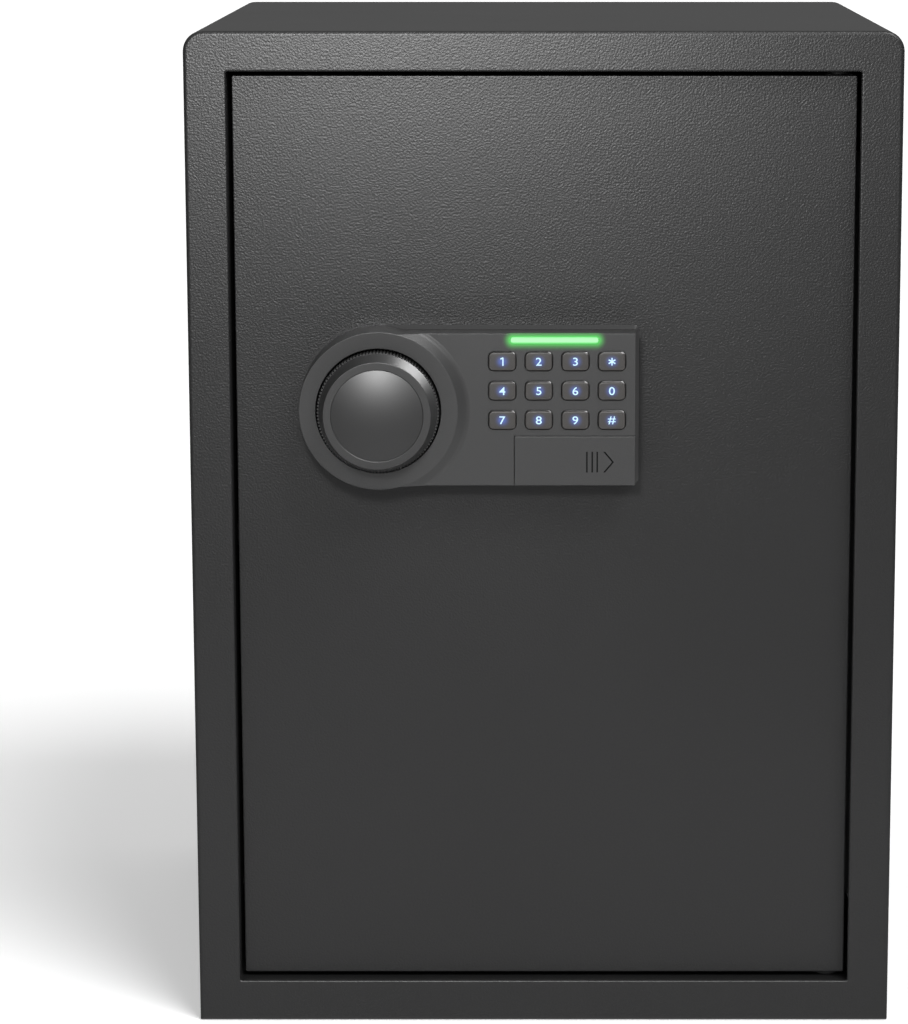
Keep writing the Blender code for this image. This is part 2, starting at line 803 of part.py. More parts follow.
def make_bolt_cam():
    """A disc on the spindle with a crank pin that drives the carrier's slot."""
    back = CARRIER_FRONT - 0.0025
    rim = circle(KNOB_X, KNOB_Z, CRANK + CRANK_PIN_R + 0.002, 32)
    disc = slab("bolt_cam", [rim, circle(KNOB_X, KNOB_Z, SPINDLE_R + FIT)], back - 0.004, back)
    x = KNOB_X + CRANK * cos(CRANK_START)
    z = KNOB_Z + CRANK * sin(CRANK_START)
    pin = rod("pin", (x, back - 0.002, z), (x, CARRIER_FRONT + CARRIER_THICK + 0.002, z), CRANK_PIN_R)
    finished(join(disc, pin), zinc, knob_axis, smooth=True)


def make_carrier():
    """The sliding plate that carries both bolts. Its tab has two notches for the solenoid's plunger."""
    low, high = KNOB_Z - BOLT_RISE - 0.016, KNOB_Z + BOLT_RISE + 0.016
    back = CARRIER_FRONT + CARRIER_THICK
    flange_front = BOLT_Y - 0.008
    section = [
        (CARRIER_LEFT, flange_front),
        (CARRIER_LEFT + CARRIER_THICK, flange_front),
        (CARRIER_LEFT + CARRIER_THICK, CARRIER_FRONT),
        (CARRIER_RIGHT, CARRIER_FRONT),
        (CARRIER_RIGHT, back),
        (CARRIER_LEFT, back),
    ]
    carrier = slab("bolt_carrier", [section], low, high, "Z")
    tab_right = PLUNGER_X + THROW + 0.010
    tab = box("tab", (CARRIER_RIGHT - 0.005, tab_right), (CARRIER_FRONT, back), (TAB_LOW, TAB_LOW + 0.012))
    carrier = join(carrier, tab)
    through = (CARRIER_FRONT - 0.002, back + 0.002)
    notch_half, notch_deep = PLUNGER_R + 0.0006, PLUNGER_TRAVEL + 0.0008
    for x in (PLUNGER_X, PLUNGER_X + THROW):
        sides = (x - notch_half, x + notch_half)
        notch = box("notch", sides, through, (TAB_LOW - 0.002, TAB_LOW + notch_deep))
        carrier = cut(carrier, notch)
    pin_x = KNOB_X + CRANK * cos(CRANK_START)
    slot_half = CRANK_PIN_R + 0.0006
    slot_low = KNOB_Z + CRANK * sin(CRANK_START) - CRANK_PIN_R - 0.002
    slot_high = KNOB_Z + CRANK + CRANK_PIN_R + 0.002
    slot = box("slot", (pin_x - slot_half, pin_x + slot_half), through, (slot_low, slot_high))
    carrier = cut(carrier, slot)
    for height in bolt_heights().values():
        ends = (CARRIER_LEFT - 0.002, BOLT_Y, height), (CARRIER_LEFT + 0.005, BOLT_Y, height)
        carrier = cut(carrier, rod("hole", *ends, BOLT_TAIL_R + FIT, 16))
    finished(carrier, zinc, bolt_slide)


def make_bolts():
    chamfer = 0.0015
    shoulder = BOLT_TIP - CARRIER_LEFT + FIT
    end = shoulder - 0.0055
    profile = [
        (0, 0),
        (BOLT_R - chamfer, 0),
        (BOLT_R, -chamfer),
        (BOLT_R, shoulder),
        (BOLT_TAIL_R, shoulder),
        (BOLT_TAIL_R, end),
        (0, end),
    ]
    for name, height in bolt_heights().items():
        bolt = turned(f"{name}_bolt", profile, (BOLT_TIP, BOLT_Y, height), LEFTWARD)
        finished(bolt, bright_steel, bolt_slide, smooth=True)


def make_solenoid():
    x, y, high = PLUNGER_X, PLUNGER_Y, SOLENOID_HIGH
    half, tall, deep = 0.011, 0.033, 0.024
    thick = (y - 0.0125, PAN_BACK - PAN_SHEET - FIT)
    body = box("solenoid_body", (x - half, x + half), thick, (high - tall, high))
    bore = rod("bore", (x, y, high - deep), (x, y, high + 0.001), PLUNGER_R + 0.0004, 16)
    finished(cut(body, bore), zinc, door)

    collar_low = high + 0.0042
    profile = [
        (0, TAB_LOW - 0.0005),
        (PLUNGER_R - 0.0008, TAB_LOW - 0.0005),
        (PLUNGER_R, TAB_LOW - 0.0013),
        (PLUNGER_R, collar_low + 0.0012),
        (0.0055, collar_low + 0.0012),
        (0.0055, collar_low),
        (PLUNGER_R, collar_low),
        (PLUNGER_R, high - 0.0235),
        (0, high - 0.0235),
    ]
    holder = pivot("plunger_slide", (x, y, high), door)
    finished(turned("solenoid_plunger", profile, (x, y, 0), UPRIGHT, 16), bright_steel, holder, smooth=True)

    wire, turns, per_turn = 0.0003, 3, 12
    low, top = high + FIT + wire, collar_low - FIT - wire
    curve = bpy.data.curves.new("plunger_spring", "CURVE")
    curve.dimensions = "3D"
    curve.bevel_depth = wire
    curve.bevel_resolution = 1
    curve.use_fill_caps = True
    spline = curve.splines.new("POLY")
    spline.points.add(turns * per_turn)
    for index, point in enumerate(spline.points):
        angle = 2 * pi * index / per_turn
        height = low + (top - low) * index / (turns * per_turn)
        point.co = (x + 0.0045 * cos(angle), y + 0.0045 * sin(angle), height, 1.0)
    finished(bake(link("plunger_spring", curve)), bright_steel, door, smooth=True)


def make_key_cylinder():
    """The lock that the mechanical key turns, behind the sliding cover."""
    front = PLATE_FRONT + COVER_THICK + 0.0012
    x, z, half = CYLINDER_X, CYLINDER_Z, 0.004
    body = rod("key_cylinder", (x, front, z), (x, CYLINDER_BACK, z), CYLINDER_R, 32)
    bore = rod("bore", (x, front - 0.001, z), (x, CYLINDER_BACK + 0.001, z), PLUG_R + FIT, 24)
    finished(cut(body, bore), bright_steel, door, smooth=True)

    holder = pivot("key_turn", (x, front, z), door)
    plug = rod("key_plug", (x, front, z), (x, LEVER_BACK, z), PLUG_R, 24)
    lever = box("lever", (x - 0.022, x + half), (LEVER_FRONT, LEVER_BACK), (z - half, z + half))
    plug = join(plug, lever)
    keyway = box("keyway", (x - 0.0008, x + 0.0008), (front - 0.001, front + 0.020), (z - half, z + half))
    finished(cut(plug, keyway), brass, holder)


def make_key_cover():
    holder = pivot("cover_slide", (PLATE_RIGHT, PLATE_FRONT, PLATE_LOW), door)
    thick = (PLATE_FRONT, PLATE_FRONT + COVER_THICK)
    cover = box("key_cover", (PLATE_LEFT, PLATE_RIGHT), thick, (PLATE_LOW, COVER_HIGH))
    finished(cover, black_plastic, holder)


# ---------------------------------------------------------------- power and reset


def make_battery_box():
    wall = 0.002
    back = PAN_BACK - PAN_SHEET - FIT
    tray = box("battery_box", (BOX_LEFT, BOX_RIGHT), (BOX_FRONT, back), (BOX_LOW, BOX_HIGH))
    hollow = box(
        "hollow",
        (BOX_LEFT + wall, BOX_RIGHT - wall),
        (BOX_FRONT + wall, back + 0.001),
        (BOX_LOW + wall, BOX_HIGH - wall),
    )
    finished(cut(tray, hollow), black_plastic, door)

    middle = (BOX_LEFT + BOX_RIGHT) / 2
    low = (BOX_LOW + BOX_HIGH - BATTERY_L) / 2
    y = BOX_FRONT + wall + FIT + BATTERY_R
    for index in range(4):
        x = middle + BATTERY_PITCH * (index - 1.5)
        flip = index % 2
        profile = [
            (0, BATTERY_L),
            (0.0026, BATTERY_L),
            (0.0026, BATTERY_L - 0.0012),
            (BATTERY_R - 0.0005, BATTERY_L - 0.0012),
            (BATTERY_R, BATTERY_L - 0.0017),
            (BATTERY_R, 0.0004),
            (BATTERY_R - 0.0005, 0),
            (0, 0),
        ]
        place = (x, y, low + BATTERY_L * flip)
        cell = turned(f"battery_{index + 1}", profile, place, (pi * flip, 0, 0), 16)
        finished(cell, battery_wrap, door, smooth=True)


def make_battery_cover():
    """A flat lid on the back of the pan, with a finger ridge, that slides down off the batteries."""
    holder = pivot("battery_cover_slide", (BOX_LEFT, PAN_BACK, BOX_LOW), door)
    front, border, thick = PAN_BACK + FIT, 0.002, 0.002
    lid = box(
        "battery_cover",
        (BOX_LEFT - border, BOX_RIGHT + border),
        (front, front + thick),
        (BOX_LOW - border, BOX_HIGH + border),
    )
    middle, ridge_half, ridge_low = (BOX_LEFT + BOX_RIGHT) / 2, 0.012, BOX_HIGH - 0.010
    ridge = box(
        "ridge",
        (middle - ridge_half, middle + ridge_half),
        (front + thick / 2, front + thick + 0.0015),
        (ridge_low, ridge_low + 0.003),
    )
    finished(join(lid, ridge), black_plastic, holder)


def make_reset_button():
    """The button on the hinge side of the pan that starts learning a new code."""
    holder = pivot("reset_press", (PAN_RIGHT, BOLT_Y, RESET_Z), door)
    proud = 0.0022
    profile = [
        (0, proud),
        (RESET_R - 0.0006, proud),
        (RESET_R, proud - 0.0006),
        (RESET_R, -PAN_SHEET - FIT),
        (RESET_R + 0.0012, -PAN_SHEET - FIT),
        (RESET_R + 0.0012, -PAN_SHEET - 0.0018),
        (0, -PAN_SHEET - 0.0018),
    ]
    button = turned("reset_button", profile, (PAN_RIGHT, BOLT_Y, RESET_Z), (0, pi / 2, 0), 16)
    finished(button, button_red, holder, smooth=True)


clear_scene()
parts = new_collection("safe")

powder_black = finish_of("powder_black", (0.032, 0.032, 0.032), 0.55, 0.0)
black_plastic = finish_of("black_plastic", (0.050, 0.050, 0.050), 0.42, 0.0)
key_grey = finish_of("key_grey", (0.085, 0.082, 0.080), 0.40, 0.0)
green_lens = finish_of("green_lens", (0.45, 1.0, 0.55), 0.30, 0.0)
board_green = finish_of("board_green", (0.02, 0.16, 0.06), 0.50, 0.0)
rubber_black = finish_of("rubber_black", (0.02, 0.02, 0.02), 0.80, 0.0)
felt_grey = finish_of("felt_grey", (0.06, 0.06, 0.065), 0.95, 0.0)
zinc = finish_of("zinc", (0.62, 0.62, 0.60), 0.38, 1.0)
bright_steel = finish_of("bright_steel", (0.75, 0.75, 0.76), 0.25, 1.0)
brass = finish_of("brass", (0.78, 0.60, 0.28), 0.30, 1.0)
battery_wrap = finish_of("battery_wrap", (0.10, 0.12, 0.20), 0.35, 0.0)
button_red = finish_of("button_red", (0.60, 0.03, 0.03), 0.40, 0.0)

door = pivot("door_hinge", (PIVOT_X, PIVOT_Y, 0))
knob_axis = pivot("knob_turn", (KNOB_X, KNOB_FRONT, KNOB_Z), door)
bolt_slide = pivot("bolt_slide", (BOLT_TIP, BOLT_Y, KNOB_Z), door)

make_shell()
make_front_frame()
make_back_panel()
make_floor_plate()
make_floor_mat()
make_anchor_plugs()
make_hinge_bushes()
make_ledges()
make_shelf()
make_door_plate()
make_inner_cover()
make_cover_screws()
make_hinge_pins()
make_dead_bar()
make_bolt_guides()
make_lock_housing()
make_light_bar()
make_keys()
make_circuit_board()
make_lock_cable()
make_knob()
make_spindle()
make_bolt_cam()
make_carrier()
make_bolts()
make_solenoid()
make_key_cylinder()
make_key_cover()
make_battery_box()
make_battery_cover()
make_reset_button()
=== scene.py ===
import json
from math import atan2, cos, pi, radians, sin, tan

import bmesh
import bpy
from mathutils import Matrix, Vector


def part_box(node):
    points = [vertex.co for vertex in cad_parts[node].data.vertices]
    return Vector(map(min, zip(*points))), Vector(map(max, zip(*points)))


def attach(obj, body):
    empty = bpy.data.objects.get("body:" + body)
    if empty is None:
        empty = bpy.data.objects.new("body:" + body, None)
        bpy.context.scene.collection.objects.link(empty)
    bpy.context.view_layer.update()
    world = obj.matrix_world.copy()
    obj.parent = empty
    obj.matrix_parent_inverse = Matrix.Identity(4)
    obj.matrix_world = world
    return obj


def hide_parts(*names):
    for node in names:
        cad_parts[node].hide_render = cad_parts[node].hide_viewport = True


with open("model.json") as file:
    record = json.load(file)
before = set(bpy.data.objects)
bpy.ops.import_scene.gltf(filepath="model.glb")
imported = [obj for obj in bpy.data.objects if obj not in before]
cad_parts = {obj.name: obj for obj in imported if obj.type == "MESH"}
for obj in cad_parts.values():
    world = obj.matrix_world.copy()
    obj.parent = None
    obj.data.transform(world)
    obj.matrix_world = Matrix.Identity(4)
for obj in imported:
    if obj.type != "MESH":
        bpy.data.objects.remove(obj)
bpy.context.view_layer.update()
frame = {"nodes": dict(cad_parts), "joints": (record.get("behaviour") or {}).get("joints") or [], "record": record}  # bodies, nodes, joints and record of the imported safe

mm = 0.001
joints = {joint["name"]: joint for joint in frame["joints"]}
nodes = frame["nodes"]
scene = bpy.context.scene
facing = Matrix.Rotation(pi / 2, 4, "X")  # turns a piece made along +Z towards the viewer


# Mesh tools

def roundPath(points, steps=5, hold=0.25 * mm):
    # a path of (a, b) corners; a third value rounds that corner and leaves a flat strip beside it
    path = []
    for index, point in enumerate(points):
        here = Vector(point[:2])
        if len(point) < 3:
            path.append(here)
            continue
        back = (Vector(points[index - 1][:2]) - here).normalized()
        ahead = (Vector(points[(index + 1) % len(points)][:2]) - here).normalized()
        half = back.angle(ahead) / 2
        reach = point[2] / tan(half)
        centre = here + (back + ahead).normalized() * point[2] / sin(half)
        start, end = here + back * reach - centre, here + ahead * reach - centre
        turn = atan2(start.x * end.y - start.y * end.x, start.dot(end))
        path.append(here + back * (reach + hold))
        for step in range(steps + 1):
            path.append(centre + Matrix.Rotation(turn * step / steps, 2) @ start)
        path.append(here + ahead * (reach + hold))
    return path


def rectLoop(left, right, low, high, y, radii, steps=6, hold=0.3 * mm):
    # a rounded rectangle seen from the front, its radii from the low left corner round to the high left
    corners = [
        (left, low, 1, 1, pi),
        (right, low, -1, 1, 1.5 * pi),
        (right, high, -1, -1, 0.0),
        (left, high, 1, -1, 0.5 * pi),
    ]
    loop = []
    for (x, z, toX, toZ, start), radius in zip(corners, radii):
        arc = []
        for step in range(steps + 1):
            angle = start + 0.5 * pi * step / steps
            across, up = toX * radius + radius * cos(angle), toZ * radius + radius * sin(angle)
            arc.append(Vector((x + across, y, z + up)))
        before = Vector((sin(start), 0, -cos(start))) * hold
        after = Vector((-cos(start), 0, -sin(start))) * hold
        loop += [arc[0] + before, *arc, arc[-1] + after]
    return loop


def insetLoop(low, high, inset, y, radius, steps=6, hold=0.3 * mm):
    # the front outline of a box, drawn in by an inset
    sides = (low.x + inset, high.x - inset, low.z + inset, high.z - inset)
    return rectLoop(*sides, y, (radius,) * 4, steps, hold)


def loft(loops, closed=False):
    # skins a row of loops that have the same number of points; an open row gets flat ends
    shape = bmesh.new()
    rows = [[shape.verts.new(point) for point in loop] for loop in loops]
    count = len(rows[0])
    pairs = list(zip(rows, rows[1:])) + ([(rows[-1], rows[0])] if closed else [])
    for first, second in pairs:
        for index in range(count):
            after = (index + 1) % count
            shape.faces.new((first[index], first[after], second[after], second[index]))
    if not closed:
        shape.faces.new(rows[0][::-1])
        shape.faces.new(rows[-1])
    return shape


def ring(radius, height, segments, wave=None):
    points = []
    for index in range(segments):
        angle = 2 * pi * index / segments
        r = radius + (wave(angle) if wave else 0)
        points.append(Vector((r * cos(angle), r * sin(angle), height)))
    return points


def toObject(name, shape, place=None):
    bmesh.ops.remove_doubles(shape, verts=shape.verts, dist=0.0000005)
    bmesh.ops.dissolve_degenerate(shape, edges=shape.edges, dist=0.0000005)
    shape.normal_update()
    bmesh.ops.recalc_face_normals(shape, faces=shape.faces)
    mesh = bpy.data.meshes.new(name)
    if place is not None:
        shape.transform(place)
    shape.to_mesh(mesh)
    shape.free()
    made = bpy.data.objects.new(name, mesh)
    scene.collection.objects.link(made)
    return made


def turned(name, profile, place, segments=96, hollow=False):
    # a solid of revolution from (radius, height) pairs, made along +Z and then placed
    return toObject(name, loft([ring(max(r, 0), h, segments) for r, h in profile], hollow), place)


def block(name, x, y, z):
    # a sharp box from its two ends on each axis
    shape = bmesh.new()
    bmesh.ops.create_cube(shape, size=1.0)
    for vertex in shape.verts:
        for axis, ends in enumerate((x, y, z)):
            vertex.co[axis] = min(ends) if vertex.co[axis] < 0 else max(ends)
    return toObject(name, shape)


def onFront(point):
    # stands a piece made along +Z on the front, over this point
    return Matrix.Translation((point.x, 0, point.z)) @ facing


def combine(target, *others, operation="DIFFERENCE"):
    for other in others:
        modifier = target.modifiers.new(operation, "BOOLEAN")
        modifier.operation = operation
        modifier.solver = "EXACT"
        modifier.object = other
        bpy.context.view_layer.update()
        graph = bpy.context.evaluated_depsgraph_get()
        mesh = bpy.data.meshes.new_from_object(target.evaluated_get(graph))
        target.modifiers.clear()
        target.data = mesh
        bpy.data.objects.remove(other, do_unlink=True)
    return target


def finishPiece(made, body, look, replaces=(), smooth=32):
    made.data.materials.clear()
    made.data.materials.append(look)
    made.data.shade_smooth()
    made.data.set_sharp_from_angle(angle=radians(smooth))
    even = made.modifiers.new("evenShading", "WEIGHTED_NORMAL")  # keeps large faces flat
    even.keep_sharp = True
    even.weight = 90
    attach(made, body)
    if replaces:
        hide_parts(*replaces)
    return made


# Shader tools

def setInputs(node, values):
    for key, value in values.items():
        node.inputs[key].default_value = value


def addNode(tree, kind, values=None, links=None, **settings):
    made = tree.nodes.new("ShaderNode" + kind)
    for key, value in settings.items():
        setattr(made, key, value)
    setInputs(made, values or {})
    for key, source in (links or {}).items():
        tree.links.new(source, made.inputs[key])
    return made


def newGroup(name, inputs, outputs):
    tree = bpy.data.node_groups.new(name, "ShaderNodeTree")
    for label, default in {"Place": None, **inputs}.items():  # None makes a vector input
        kind = "NodeSocketVector" if default is None else "NodeSocketFloat"
        socket = tree.interface.new_socket(label, in_out="INPUT", socket_type=kind)
        if default is not None:
            socket.default_value = default
    for label in outputs:
        tree.interface.new_socket(label, in_out="OUTPUT", socket_type="NodeSocketFloat")
    return tree, tree.nodes.new("NodeGroupInput").outputs, tree.nodes.new("NodeGroupOutput").inputs


def mathNode(tree, operation, first, second=None, clamp=False):
    made = addNode(tree, "Math", operation=operation, use_clamp=clamp)
    for index, value in enumerate((first, second)):
        if value is None:
            continue
        if isinstance(value, (int, float)):
            made.inputs[index].default_value = value
        else:
            tree.links.new(value, made.inputs[index])
    return made.outputs[0]


def rampMask(tree, source, low, high):
    # 0 below low, 1 above high
    ends = {1: low, 2: high, 3: 0.0, 4: 1.0}
    return addNode(tree, "MapRange", ends, {0: source}, interpolation_type="SMOOTHSTEP").outputs[0]


def noiseNode(tree, place, scale, detail, roughness=0.5):
    values, links = {"Detail": detail, "Roughness": roughness}, {"Vector": place}
    (values if isinstance(scale, float) else links)["Scale"] = scale
    return addNode(tree, "TexNoise", values, links).outputs["Fac"]


def makeGrainGroup():
    # orange-peel or moulded texture: rounded bumps of one size with finer ones between them
    tree, given, result = newGroup(
        "surfaceGrain", {"Bump Size": 1.5 * mm, "Fine Share": 0.3, "Patchiness": 0.3},
        ["Height", "Tone", "Patches"])
    scale = mathNode(tree, "DIVIDE", 1.0, given["Bump Size"])
    coarse = noiseNode(tree, given["Place"], scale, 1.0, 0.4)
    fine = noiseNode(tree, given["Place"], mathNode(tree, "MULTIPLY", scale, 2.7), 2.0)
    height = mathNode(tree, "ADD", coarse, mathNode(tree, "MULTIPLY", fine, given["Fine Share"]))
    tree.links.new(height, result["Height"])
    tree.links.new(rampMask(tree, height, 0.45, 0.85), result["Tone"])
    patches = rampMask(tree, noiseNode(tree, given["Place"], 9.0, 3.0), 0.35, 0.7)
    tree.links.new(mathNode(tree, "MULTIPLY", patches, given["Patchiness"]), result["Patches"])
    return tree


def makeBrushedGroup():
    # fine parallel lines that run along the first axis of the place vector
    tree, given, result = newGroup(
        "brushedLines", {"Line Width": 0.2 * mm, "Stretch": 40.0}, ["Height", "Streak"])
    scale = mathNode(tree, "DIVIDE", 1.0, given["Line Width"])
    shrink = mathNode(tree, "DIVIDE", 1.0, given["Stretch"])
    squeeze = addNode(tree, "CombineXYZ", {1: 1.0, 2: 1.0}, {0: shrink}).outputs[0]
    narrow = addNode(tree, "VectorMath", None, {0: given["Place"], 1: squeeze}, operation="MULTIPLY")
    lines = noiseNode(tree, narrow.outputs[0], scale, 3.0, 0.6)
    tree.links.new(lines, result["Height"])
    tree.links.new(rampMask(tree, lines, 0.3, 0.7), result["Streak"])
    return tree


def makeGlowGroup():
    # 1 within the core of a short line along X, and falling to 0 over the reach
    tree, given, result = newGroup(
        "glowRound", {"Centre": None, "Half Length": 20 * mm, "Core": 0.0, "Reach": 4 * mm}, ["Mask"])
    offset = addNode(tree, "VectorMath", None, {0: given["Place"], 1: given["Centre"]}, operation="SUBTRACT")
    parts = addNode(tree, "SeparateXYZ", None, {0: offset.outputs[0]})
    beyond = mathNode(tree, "SUBTRACT", mathNode(tree, "ABSOLUTE", parts.outputs[0]), given["Half Length"])
    along = mathNode(tree, "MAXIMUM", beyond, 0.0)
    away = addNode(tree, "CombineXYZ", None, {0: along, 1: parts.outputs[1], 2: parts.outputs[2]})
    distance = addNode(tree, "VectorMath", None, {0: away.outputs[0]}, operation="LENGTH").outputs["Value"]
    outside = mathNode(tree, "SUBTRACT", distance, given["Core"])
    near = mathNode(tree, "SUBTRACT", 1.0, mathNode(tree, "DIVIDE", outside, given["Reach"]), clamp=True)
    tree.links.new(mathNode(tree, "POWER", near, 2.2), result["Mask"])
    return tree


def makeDustGroup():
    # settled dust on faces that look up, broken by noise
    tree, given, result = newGroup("settledDust", {"Amount": 0.2}, ["Mask"])
    normal = addNode(tree, "NewGeometry").outputs["Normal"]
    upward = addNode(tree, "SeparateXYZ", None, {0: normal}).outputs[2]
    specks = rampMask(tree, noiseNode(tree, given["Place"], 420.0, 4.0), 0.42, 0.75)
    facingUp = rampMask(tree, upward, 0.3, 0.95)
    settled = mathNode(tree, "MULTIPLY", specks, facingUp)
    tree.links.new(mathNode(tree, "MULTIPLY", settled, given["Amount"]), result["Mask"])
    return tree


grainGroup = makeGrainGroup()
brushedGroup = makeBrushedGroup()
glowGroup = makeGlowGroup()
dustGroup = makeDustGroup()


def newMaterial(name, values):
    made = bpy.data.materials.new(name)
    made.use_nodes = True
    tree = made.node_tree
    shader = tree.nodes["Principled BSDF"]
    setInputs(shader, values)
    return made, tree, shader, addNode(tree, "TexCoord").outputs["Object"]


def useGroup(tree, group, place, values):
    made = tree.nodes.new("ShaderNodeGroup")
    made.node_tree = group
    setInputs(made, values)
    tree.links.new(place, made.inputs["Place"])
    return made.outputs


def mixColour(tree, mask, first, second):
    made = addNode(tree, "Mix", data_type="RGBA")
    for socket, value in ((made.inputs[6], first), (made.inputs[7], second)):
        if isinstance(value, (tuple, list)):
            socket.default_value = (*value, 1.0)
        else:
            tree.links.new(value, socket)
    tree.links.new(mask, made.inputs[0])
    return made.outputs[2]


def addBump(tree, shader, height, distance):
    bump = addNode(tree, "Bump", {"Strength": 1.0, "Distance": distance}, {"Height": height})
    tree.links.new(bump.outputs[0], shader.inputs["Normal"])


glossSpread = 0.06  # how much rougher the roughest patches are
streakSpread = 0.10
dustColour = (0.30, 0.29, 0.28)


def grainMaterial(name, low, high, roughness, size, depth, fine=0.3, dust=0.0, specular=0.5):
    # a paint or plastic whose colour, gloss and relief all follow one grain
    made, tree, shader, place = newMaterial(name, {"Specular IOR Level": specular})
    grain = useGroup(tree, grainGroup, place, {"Bump Size": size, "Fine Share": fine})
    colour = mixColour(tree, grain["Tone"], low, high)
    if dust:
        settled = useGroup(tree, dustGroup, place, {"Amount": dust})
        colour = mixColour(tree, settled["Mask"], colour, dustColour)
    tree.links.new(colour, shader.inputs["Base Color"])
    rougher = mathNode(tree, "MULTIPLY", grain["Patches"], glossSpread)
    tree.links.new(mathNode(tree, "ADD", rougher, roughness), shader.inputs["Roughness"])
    addBump(tree, shader, grain["Height"], depth)
    return made, tree, shader, place, colour


def metalMaterial(name, low, high, roughness, width, stretch, depth=0.01 * mm):
    made, tree, shader, place = newMaterial(name, {"Metallic": 1.0})
    lines = useGroup(tree, brushedGroup, place, {"Line Width": width, "Stretch": stretch})
    grain = useGroup(tree, grainGroup, place, {"Bump Size": 4 * mm})
    streaks = mixColour(tree, lines["Streak"], low, high)
    tree.links.new(mixColour(tree, grain["Patches"], streaks, low), shader.inputs["Base Color"])
    rougher = mathNode(tree, "MULTIPLY", lines["Streak"], streakSpread)
    tree.links.new(mathNode(tree, "ADD", rougher, roughness), shader.inputs["Roughness"])
    addBump(tree, shader, lines["Height"], depth)
    return made


# Materials

print("materials")
# name, darkest and lightest colour, roughness, size and depth of the grain
powderCoat = grainMaterial(
    "powderCoat", (0.0105, 0.0105, 0.0107), (0.0125, 0.0125, 0.0127), 0.385, 1.0 * mm, 0.15 * mm)[0]
innerCoat = grainMaterial(
    "innerCoat", (0.012, 0.012, 0.0123), (0.021, 0.021, 0.0215), 0.52, 1.5 * mm, 0.10 * mm, dust=0.10)[0]
satinPlastic = grainMaterial(
    "satinPlastic", (0.020, 0.020, 0.0202), (0.026, 0.026, 0.0263), 0.40, 0.45 * mm, 0.012 * mm, fine=0.5)[0]
bushPlastic = grainMaterial(
    "bushPlastic", (0.006, 0.006, 0.006), (0.008, 0.008, 0.008), 0.60, 0.45 * mm, 0.010 * mm)[0]
knobPlastic = grainMaterial(
    "knobPlastic", (0.012, 0.012, 0.0122), (0.016, 0.016, 0.0163), 0.41, 0.4 * mm, 0.008 * mm,
    fine=0.5, specular=0.72)[0]
rubberLook = grainMaterial(
    "rubberLook", (0.012, 0.012, 0.012), (0.022, 0.021, 0.020), 0.72, 0.8 * mm, 0.03 * mm, dust=0.25)[0]
redPlastic = grainMaterial(
    "redPlastic", (0.42, 0.012, 0.010), (0.50, 0.020, 0.016), 0.35, 0.5 * mm, 0.008 * mm)[0]
# near-black painted shade for the walls and floor of the slide mark's grooves on the key cover
grooveShadeLook = grainMaterial(
    "paintedGrooveShade", (0.0015, 0.0015, 0.0015), (0.003, 0.003, 0.003), 0.8, 0.4 * mm, 0.01 * mm,
    specular=0.2)[0]
# name, darkest and lightest colour, roughness, width and stretch of the lines
zincLook = metalMaterial("zincPlate", (0.42, 0.43, 0.43), (0.62, 0.62, 0.60), 0.32, 0.35 * mm, 6.0, 0.012 * mm)
steelLook = metalMaterial("brightSteel", (0.55, 0.55, 0.56), (0.72, 0.72, 0.73), 0.22, 0.15 * mm, 30.0)
brassLook = metalMaterial("machinedBrass", (0.58, 0.41, 0.16), (0.78, 0.60, 0.28), 0.26, 0.15 * mm, 20.0)


def addPaintedSpill(tree, shader, place, glow, colour, strength):
    # a painted pool of light: emission round a lit piece that stands in for its light falling on the plastic
    mask = useGroup(tree, glowGroup, place, glow)["Mask"]
    tree.links.new(mixColour(tree, mask, (0, 0, 0), colour), shader.inputs["Emission Color"])
    shader.inputs["Emission Strength"].default_value = strength


def makeGlowingLook(name, core, strength, size, glow=None, rim=None):
    # a lit translucent piece: brighter patches in a slightly uneven diffuser
    made, tree, shader, place = newMaterial(name, {"Roughness": 0.35, "Emission Strength": strength})
    grain = useGroup(tree, grainGroup, place, {"Bump Size": size, "Patchiness": 1.0})
    lit = mixColour(tree, grain["Patches"], core, [part * 0.94 for part in core])
    if glow:  # the light inside is a bar, so the lens darkens towards its rim
        lit = mixColour(tree, useGroup(tree, glowGroup, place, glow)["Mask"], rim, lit)
    shader.inputs["Base Color"].default_value = (*[part * 0.08 for part in core], 1)
    tree.links.new(lit, shader.inputs["Emission Color"])
    addBump(tree, shader, grain["Height"], 0.005 * mm)
    return made


def makeFeltLook():
    made, tree, shader, place = newMaterial("needledFelt", {
        "Roughness": 0.95, "Specular IOR Level": 0.2, "Sheen Weight": 0.35, "Sheen Roughness": 0.5})
    fibres = useGroup(tree, brushedGroup, place, {"Line Width": 0.25 * mm, "Stretch": 3.0})
    turn = addNode(tree, "VectorRotate", {"Angle": 1.1}, {"Vector": place}, rotation_type="Z_AXIS")
    cross = useGroup(tree, brushedGroup, turn.outputs[0], {"Line Width": 0.3 * mm, "Stretch": 3.0})
    nap = mathNode(tree, "MULTIPLY", fibres["Height"], cross["Height"])
    mask = rampMask(tree, nap, 0.15, 0.40)
    greys = mixColour(tree, mask, (0.020, 0.020, 0.022), (0.075, 0.074, 0.078))
    tree.links.new(greys, shader.inputs["Base Color"])
    addBump(tree, shader, nap, 0.5 * mm)
    return made


def makeBoardLook():
    made, tree, shader, place, colour = grainMaterial(
        "circuitBoard", (0.006, 0.060, 0.022), (0.010, 0.095, 0.035), 0.35, 0.6 * mm, 0.01 * mm)
    tracks = addNode(
        tree, "TexBrick", {"Scale": 260.0, "Mortar Size": 0.10, "Brick Width": 2.2, "Row Height": 0.35})
    flat = addNode(tree, "SeparateXYZ", None, {0: place})
    across = addNode(tree, "CombineXYZ", None, {0: flat.outputs[0], 1: flat.outputs[2]})
    tree.links.new(across.outputs[0], tracks.inputs["Vector"])
    printed = mixColour(tree, tracks.outputs["Fac"], colour, (0.030, 0.20, 0.08))
    tree.links.new(printed, shader.inputs["Base Color"])
    return made


